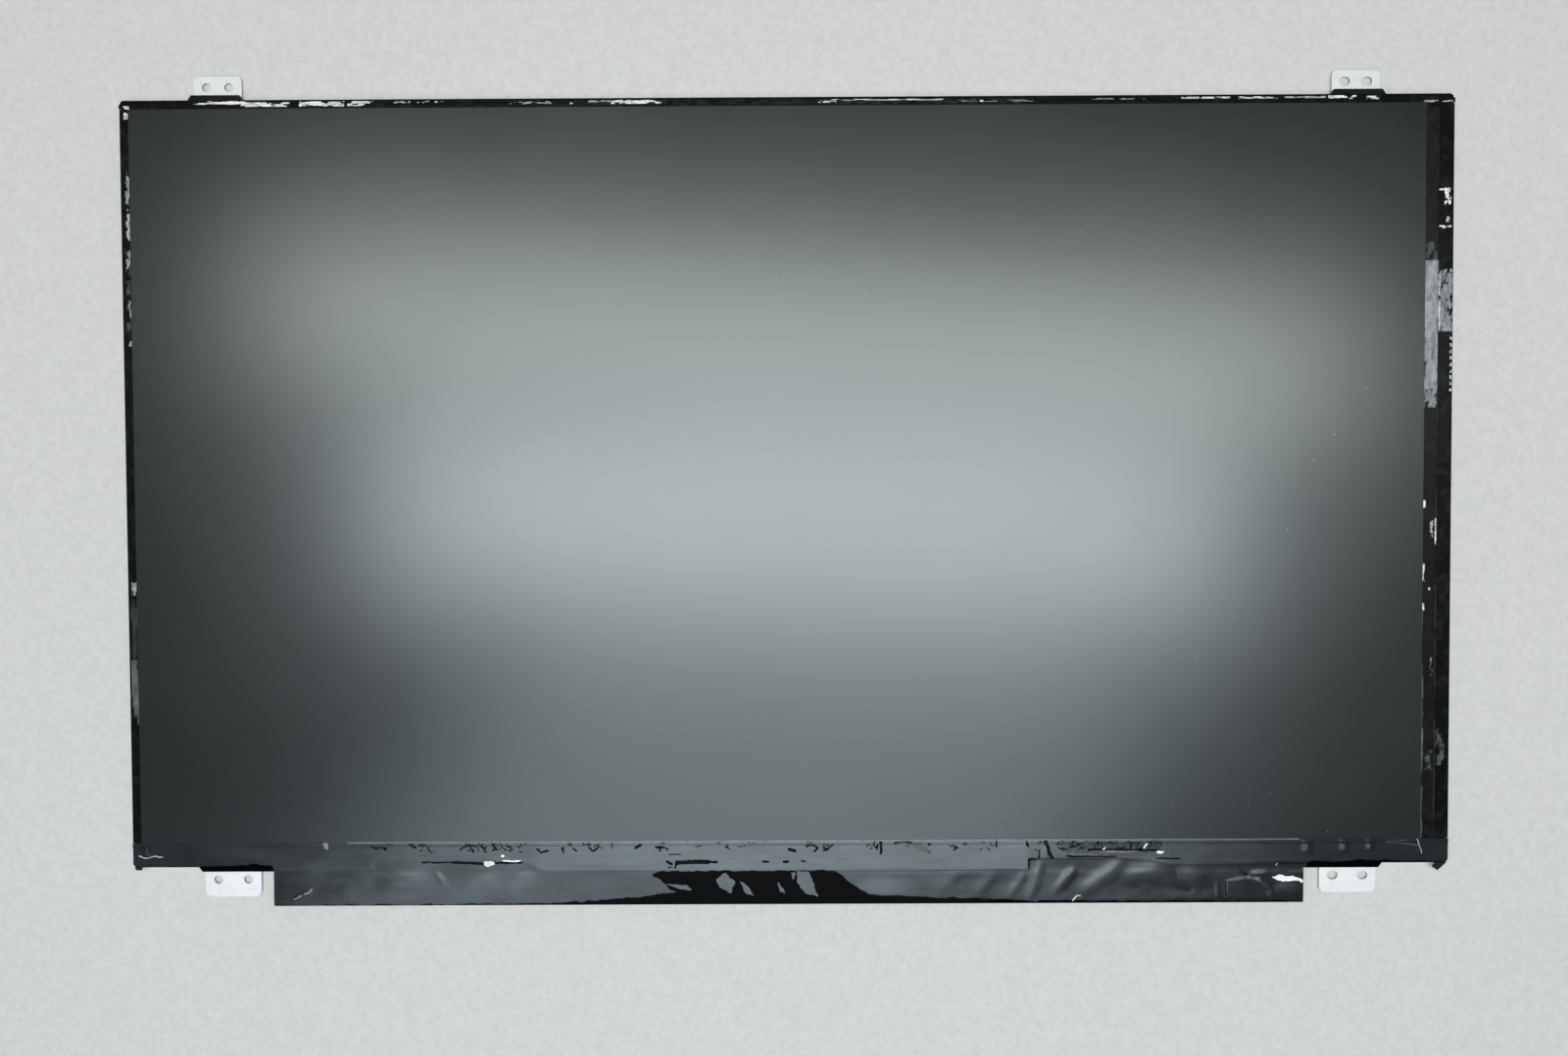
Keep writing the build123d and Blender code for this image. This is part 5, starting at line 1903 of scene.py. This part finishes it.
@dataclass
class ScreenDetails:
    """Small things on the face of the screen: a pale bead that paints the highlight along its lower edge, and
    stray specks.
    """

    bead_left: float = -121.0
    bead_right: float = 139.6
    bead_radius: float = 0.1
    speck_count: int = 34
    speck_size: float = 0.11
    stray_speck: Point = (146.6, -93.4)

    def bead(self) -> None:
        """A thin pale tube along the lower edge of the screen film that paints the highlight of that edge."""
        low = corners_of("front_polariser")[0]
        run = np.arange(self.bead_left, self.bead_right, 0.9)
        drift = 0.035 * Ripple(BEAD_SEED, 2).at(run, run * 0, 4.0, 1.0)
        places = [(x, low[1] - 0.04 + shift, low[2] + 0.07) for x, shift in zip(run, drift)]
        recipe = Recipe("film edge highlight bead")
        line = recipe.value("GeometryNodeMeshToCurve", inputs={"Mesh": recipe.points()})
        ring = recipe.value("GeometryNodeCurvePrimitiveCircle", inputs={
            "Resolution": recipe.size("Sides", 8),
            "Radius": recipe.size("Radius", self.bead_radius * MILLIMETRE)})
        tube = recipe.value("GeometryNodeCurveToMesh", inputs={
            "Curve": line, "Profile Curve": ring, "Fill Caps": True})
        recipe.finish(tube, EDGE_HIGHLIGHT_BEAD, point_mesh("film edge highlight bead", places, True), "screen_film_bead")

    def specks(self) -> None:
        """A few stray specks of dust and fibre on the film."""
        low, high = corners_of("front_polariser")
        level = high[2] + 0.02
        draw = np.random.default_rng(SPECK_SEED)
        places = [(draw.uniform(low[0] + 8, high[0] - 14), draw.uniform(low[1] + 4, high[1] - 6), level)
                  for _ in range(self.speck_count)]
        places.append((*self.stray_speck, level))
        recipe = Recipe("specks")
        speck = recipe.value("GeometryNodeMeshIcoSphere", inputs={
            "Radius": recipe.size("Size", self.speck_size * MILLIMETRE),
            "Subdivisions": recipe.size("Steps", 1)})
        thin = recipe.value("GeometryNodeTransform", inputs={"Geometry": speck, "Scale": (1.0, 0.7, 0.35)})
        turned = recipe.value("GeometryNodeInstanceOnPoints", inputs={
            "Points": recipe.points(), "Instance": thin,
            "Scale": recipe.value("FunctionNodeRandomValue", {"data_type": "FLOAT_VECTOR"}, {
                "Min": (0.5, 0.5, 1.0), "Max": (1.7, 1.2, 1.0), "Seed": recipe.size("Seed", 5)})})
        recipe.finish(turned, DUST, point_mesh("specks", places), "screen_specks")

    def build(self) -> None:
        """Make the bead and the specks."""
        self.bead()
        self.specks()


@dataclass(frozen=True)
class Softbox:
    """A soft overhead light."""

    name: str
    centre: tuple[float, float, float]
    size: Point
    radiance: float
    turn: float
    colour: Colour

    def hang(self) -> None:
        """Hang the light facing straight down."""
        lamp = bpy.data.lights.new(self.name, "AREA")
        lamp.shape = "RECTANGLE"
        lamp.size, lamp.size_y = self.size
        lamp.energy = 4.0 * self.radiance * self.size[0] * self.size[1]
        lamp.color = self.colour
        hung = bpy.data.objects.new(self.name, lamp)
        hung.location = self.centre
        hung.rotation_euler.z = self.turn
        hung.visible_camera = False
        bpy.context.scene.collection.objects.link(hung)


@dataclass
class Studio:
    """Floor, light and camera."""

    floor_size: float = 12.0
    floor_level: float = -0.0008
    sky_light: float = 0.14
    overhead: float = 0.18
    horizon: float = 0.80
    sky_colour: tuple[float, float, float, float] = (0.985, 0.995, 1.0, 1.0)
    softboxes: tuple[Softbox, ...] = (
        Softbox("upper softbox", (0.0195, 0.150, 1.2), (1.151, 0.144), 7.67, -0.07, (1.0, 1.0, 0.975)),
        Softbox("middle softbox", (0.0145, -0.0421, 1.2), (0.889, 0.178), 9.6, -0.046, (0.965, 0.99, 1.0)),
        Softbox("lower softbox", (-0.0974, -0.451, 1.2), (0.6, 0.9), 2.41, -0.6, (0.85, 0.95, 1.0)))
    lens: float = 36.0
    eye: tuple[float, float, float] = (0.00036, 0.00445, 0.42811)
    sight: tuple[float, float, float] = (-0.00341, -0.03372, -0.99943)
    upright: tuple[float, float, float] = (0.00472, 0.99942, -0.03373)

    def lay_floor(self) -> None:
        """A plain pale floor under the panel."""
        half = self.floor_size / 2
        mesh = bpy.data.meshes.new("floor")
        corners = [(-half, -half), (half, -half), (half, half), (-half, half)]
        mesh.from_pydata([(*corner, self.floor_level) for corner in corners], [], [(0, 1, 2, 3)])
        mesh.materials.append(PaleFloor("pale floor", "stage").material())
        floor = bpy.data.objects.new("floor", mesh)
        bpy.context.scene.collection.objects.link(floor)

    def light(self) -> None:
        """A sky that is seen pale at the horizon and dim overhead, and the softboxes."""
        world = bpy.data.worlds.new("studio")
        world.use_nodes = True
        bpy.context.scene.world = world
        tree = Tree(world.node_tree)
        seen = tree.looked_at()
        heading = tree.value("ShaderNodeTexCoord", output="Generated")
        rise = tree.value("ShaderNodeSeparateXYZ", inputs={"Vector": heading}, output="Z")
        pale = tree.value("ShaderNodeMapRange", {"interpolation_type": "SMOOTHSTEP"}, {
            "Value": rise, "From Min": 0.15, "From Max": 0.7,
            "To Min": self.horizon, "To Max": self.overhead}, "Result")
        strength = self.sky_light + (pale - self.sky_light) * seen
        sky = tree.value("ShaderNodeBackground", inputs={"Color": self.sky_colour, "Strength": strength})
        tree.node("ShaderNodeOutputWorld", inputs={"Surface": sky})
        for softbox in self.softboxes:
            softbox.hang()

    def set_camera(self) -> None:
        """The camera, above the middle of the screen and tilted a little towards its lower edge."""
        data = bpy.data.cameras.new("camera")
        data.lens = self.lens
        data.sensor_width = 36.0
        data.sensor_fit = "HORIZONTAL"
        data.clip_start = 0.01
        camera = bpy.data.objects.new("camera", data)
        bpy.context.scene.collection.objects.link(camera)
        sight = Vector(self.sight).normalized()
        right = sight.cross(Vector(self.upright)).normalized()
        up = right.cross(sight)
        turn = Matrix((right, up, -sight)).transposed()
        camera.matrix_world = Matrix.Translation(Vector(self.eye)) @ turn.to_4x4()
        bpy.context.scene.camera = camera
        bpy.context.scene.view_settings.view_transform = "Standard"

    def build(self) -> None:
        """Set up the whole studio."""
        self.lay_floor()
        self.light()
        self.set_camera()


def edge_tapes() -> list[EdgeTape]:
    """The three edge tapes, with the residue that the photographed panel has on them, and painted highlight
    lines along the glass step and inner edge of the right tape.

    Returns:
        The tapes of the top, left and right sides.
    """
    glass = "colour_filter_glass"
    top = EdgeTape(
        Edge.TOP, "top_edge_tape", Edge.TOP.extent("tft_glass")[1], seed=11, corner=1.2,
        gaps=((-161.5, -146.2), (146.2, 161.5)),
        scraps=each(
            Scrap, (-159.3, -146.0, 104.95, 105.7, 0.6, (2.0, 0.4)), (-147.0, -134.2, 104.3, 105.3, 0.6),
            (-130.5, -119.4, 104.3, 105.5, 0.7), (-117.6, -111.6, 104.4, 105.5, 0.5),
            (-105.6, -92.4, 105.0, 105.6, 0.2, (0.7, 0.35), 0.45),
            (-74.0, -63.4, 104.7, 105.25, 0.4, (1.2, 0.35), 0.5),
            (-58.0, -57.3, 104.6, 104.9, 0.7, (0.4, 0.3), 0.8),
            (-53.0, -46.0, 105.1, 105.4, 0.4, (1.0, 0.3), 0.5), (-46.6, -34.0, 104.6, 105.4, 0.55),
            (8.7, 13.2, 104.6, 105.1, 0.5, (0.9, 0.4), 0.85),
            (13.2, 41.4, 105.15, 105.42, 0.6, (3.0, 0.28), 0.7),
            (47.0, 66.0, 104.6, 105.0, 0.5, (2.0, 0.35), 0.2),
            (52.2, 53.4, 104.55, 104.9, 0.7, (0.5, 0.3), 0.8),
            (82.0, 95.8, 104.95, 105.25, 0.5, (2.0, 0.3), 0.5),
            (106.6, 110.8, 105.1, 105.45, 0.6, (1.2, 0.3), 0.7),
            (112.0, 119.0, 105.15, 105.5, 0.62, (1.4, 0.3), 0.9),
            (121.6, 131.6, 105.0, 105.5, 0.55, (1.6, 0.35), 0.9),
            (133.0, 144.6, 105.1, 105.45, 0.5, (1.6, 0.3), 0.5), (146.2, 152.8, 104.85, 105.6, 0.55),
            (156.0, 158.8, 104.75, 105.5, 0.55, (0.8, 0.4)),
            (-178.4, -176.9, 103.6, 104.4, 0.6, (0.5, 0.4)),
            (171.6, 174.8, 103.75, 104.25, 0.6, (1.2, 0.25), 0.5),
            (176.4, 179.0, 103.75, 104.25, 0.56, (1.2, 0.25), 0.4)),
        hazes=(Scrap(-60.0, 66.0, 104.2, 105.4, 0.3, level=0.05),))
    left = EdgeTape(
        Edge.LEFT, "left_edge_tape", Edge.LEFT.extent(glass)[1], seed=12,
        scraps=each(
            Scrap, (-178.1, -177.05, 68.8, 86.6, 0.42, (0.4, 0.9), 0.45),
            (-178.2, -177.2, 60.9, 65.8, 0.3, (0.4, 0.7), 0.45),
            (-177.9, -177.2, 47.6, 52.3, 0.3, (0.4, 1.2), 0.3),
            (-177.9, -177.3, 40.3, 41.4, 0.6, (0.4, 0.5), 0.35),
            (-178.6, -177.3, -27.2, -24.1, 0.5, (0.5, 1.0), 0.4),
            (-178.2, -177.3, 101.2, 102.7, 0.62, (0.4, 0.6), 0.8)),
        hazes=each(
            Scrap, (-178.9, -176.9, -62.0, -46.0, 0.62, (0.8, 3.0), 0.32),
            (-178.9, -176.9, -46.0, -28.0, 0.3, (0.5, 5.0), 0.12),
            (-178.3, -177.1, 45.0, 66.0, 0.4, (0.8, 2.0), 0.2)))
    dashes = tuple(Scrap(179.0, 179.4, y - 0.36, y + 0.36, 0.68, (0.35, 0.35), 0.75)
                   for y in np.arange(26.5, 41.0, 1.75))
    right = EdgeTape(
        Edge.RIGHT, "right_edge_tape", Edge.RIGHT.extent(glass)[1], seed=13, wear=0.025,
        scraps=each(
            Scrap, (175.9, 178.3, 80.3, 81.0, 0.62, (0.6, 0.3), 0.9),
            (177.4, 178.75, 76.8, 80.6, 0.6, (0.6, 0.9), 1.0),
            (175.85, 176.2, 42.5, 57.0, 0.5, (0.3, 2.0), 0.8),
            (177.8, 178.5, 71.9, 73.0, 0.6, (0.4, 0.6), 0.9),
            (176.0, 178.8, 70.1, 70.8, 0.6, (0.9, 0.3), 0.9),
            (171.9, 172.5, -5.0, -3.4, 0.66, (0.35, 0.8), 1.0),
            (174.0, 174.6, -13.0, -8.8, 0.44, (0.35, 0.6), 0.55),
            (175.15, 175.7, -14.6, -8.6, 0.75, (0.3, 2.0), 1.0),
            (171.9, 172.45, -24.8, -20.0, 0.66, (0.35, 1.6), 1.0),
            (171.9, 172.4, -32.8, -31.4, 0.66, (0.35, 0.7), 0.9),
            (173.6, 174.0, -27.6, -27.0, 0.7, (0.3, 0.3), 0.9),
            (174.2, 174.7, -50.6, -46.2, 0.3, (0.35, 0.8), 0.3),
            # The next two hairline scraps are painted highlight lines along the glass step and the inner edge
            # of the tape.
            (175.5, 175.68, -94.0, 41.0, 0.6, (0.2, 9.0), 0.05),
            (171.95, 172.1, -94.5, -34.0, 0.6, (0.2, 7.0), 0.06)) + dashes,
        hazes=each(
            Scrap, (171.9, 175.45, 36.0, 61.0, 0.95, (0.3, 1.5), 0.9),
            (171.9, 175.45, 27.0, 37.0, 0.62, (0.5, 1.5), 0.9),
            (171.9, 175.4, 22.5, 28.0, 0.45, (0.7, 1.6), 0.75),
            (171.9, 175.4, 60.0, 66.0, 0.3, (0.8, 1.2), 0.25),
            (171.9, 175.4, 64.0, 101.0, 1.1, (0.5, 5.0), 0.03),
            (175.9, 179.4, 42.6, 59.0, 0.46, (0.55, 0.9), 0.8),
            (171.9, 175.3, -90.0, 22.0, 0.9, (0.6, 3.0), 0.02),
            (176.2, 178.4, -75.0, -66.0, 0.3, (0.7, 1.6), 0.22),
            (173.2, 174.8, -76.5, -71.5, 0.4, (0.6, 1.0), 0.22),
            # This thin patch along the inner edge is a painted highlight line.
            (171.9, 172.3, -95.0, -53.0, 0.8, (0.3, 6.0), 0.3)))
    return [top, left, right]


def dress_nodes(nodes: dict[str, bpy.types.Object]) -> None:
    """Give every CAD node that stays in view its finish.

    Args:
        nodes: The CAD nodes by name.
    """
    for finish, names in NODE_FINISHES.items():
        for name in names:
            for slot in nodes[name].material_slots:
                slot.material = finish.material()
            LOG.info("node %s: %s", name, finish.name)


def main() -> None:
    """Load the frame, dress it and set up the studio."""
    logging.basicConfig(level=logging.INFO, format="%(name)s %(message)s")
    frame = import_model()
    dress_nodes(frame["nodes"])
    for tape in edge_tapes():
        tape.build()
    BoardTape().build()
    ScreenDetails().build()
    DriverBoard(frame["nodes"]).build()
    Studio().build()
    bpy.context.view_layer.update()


if __name__ == "__main__":
    main()
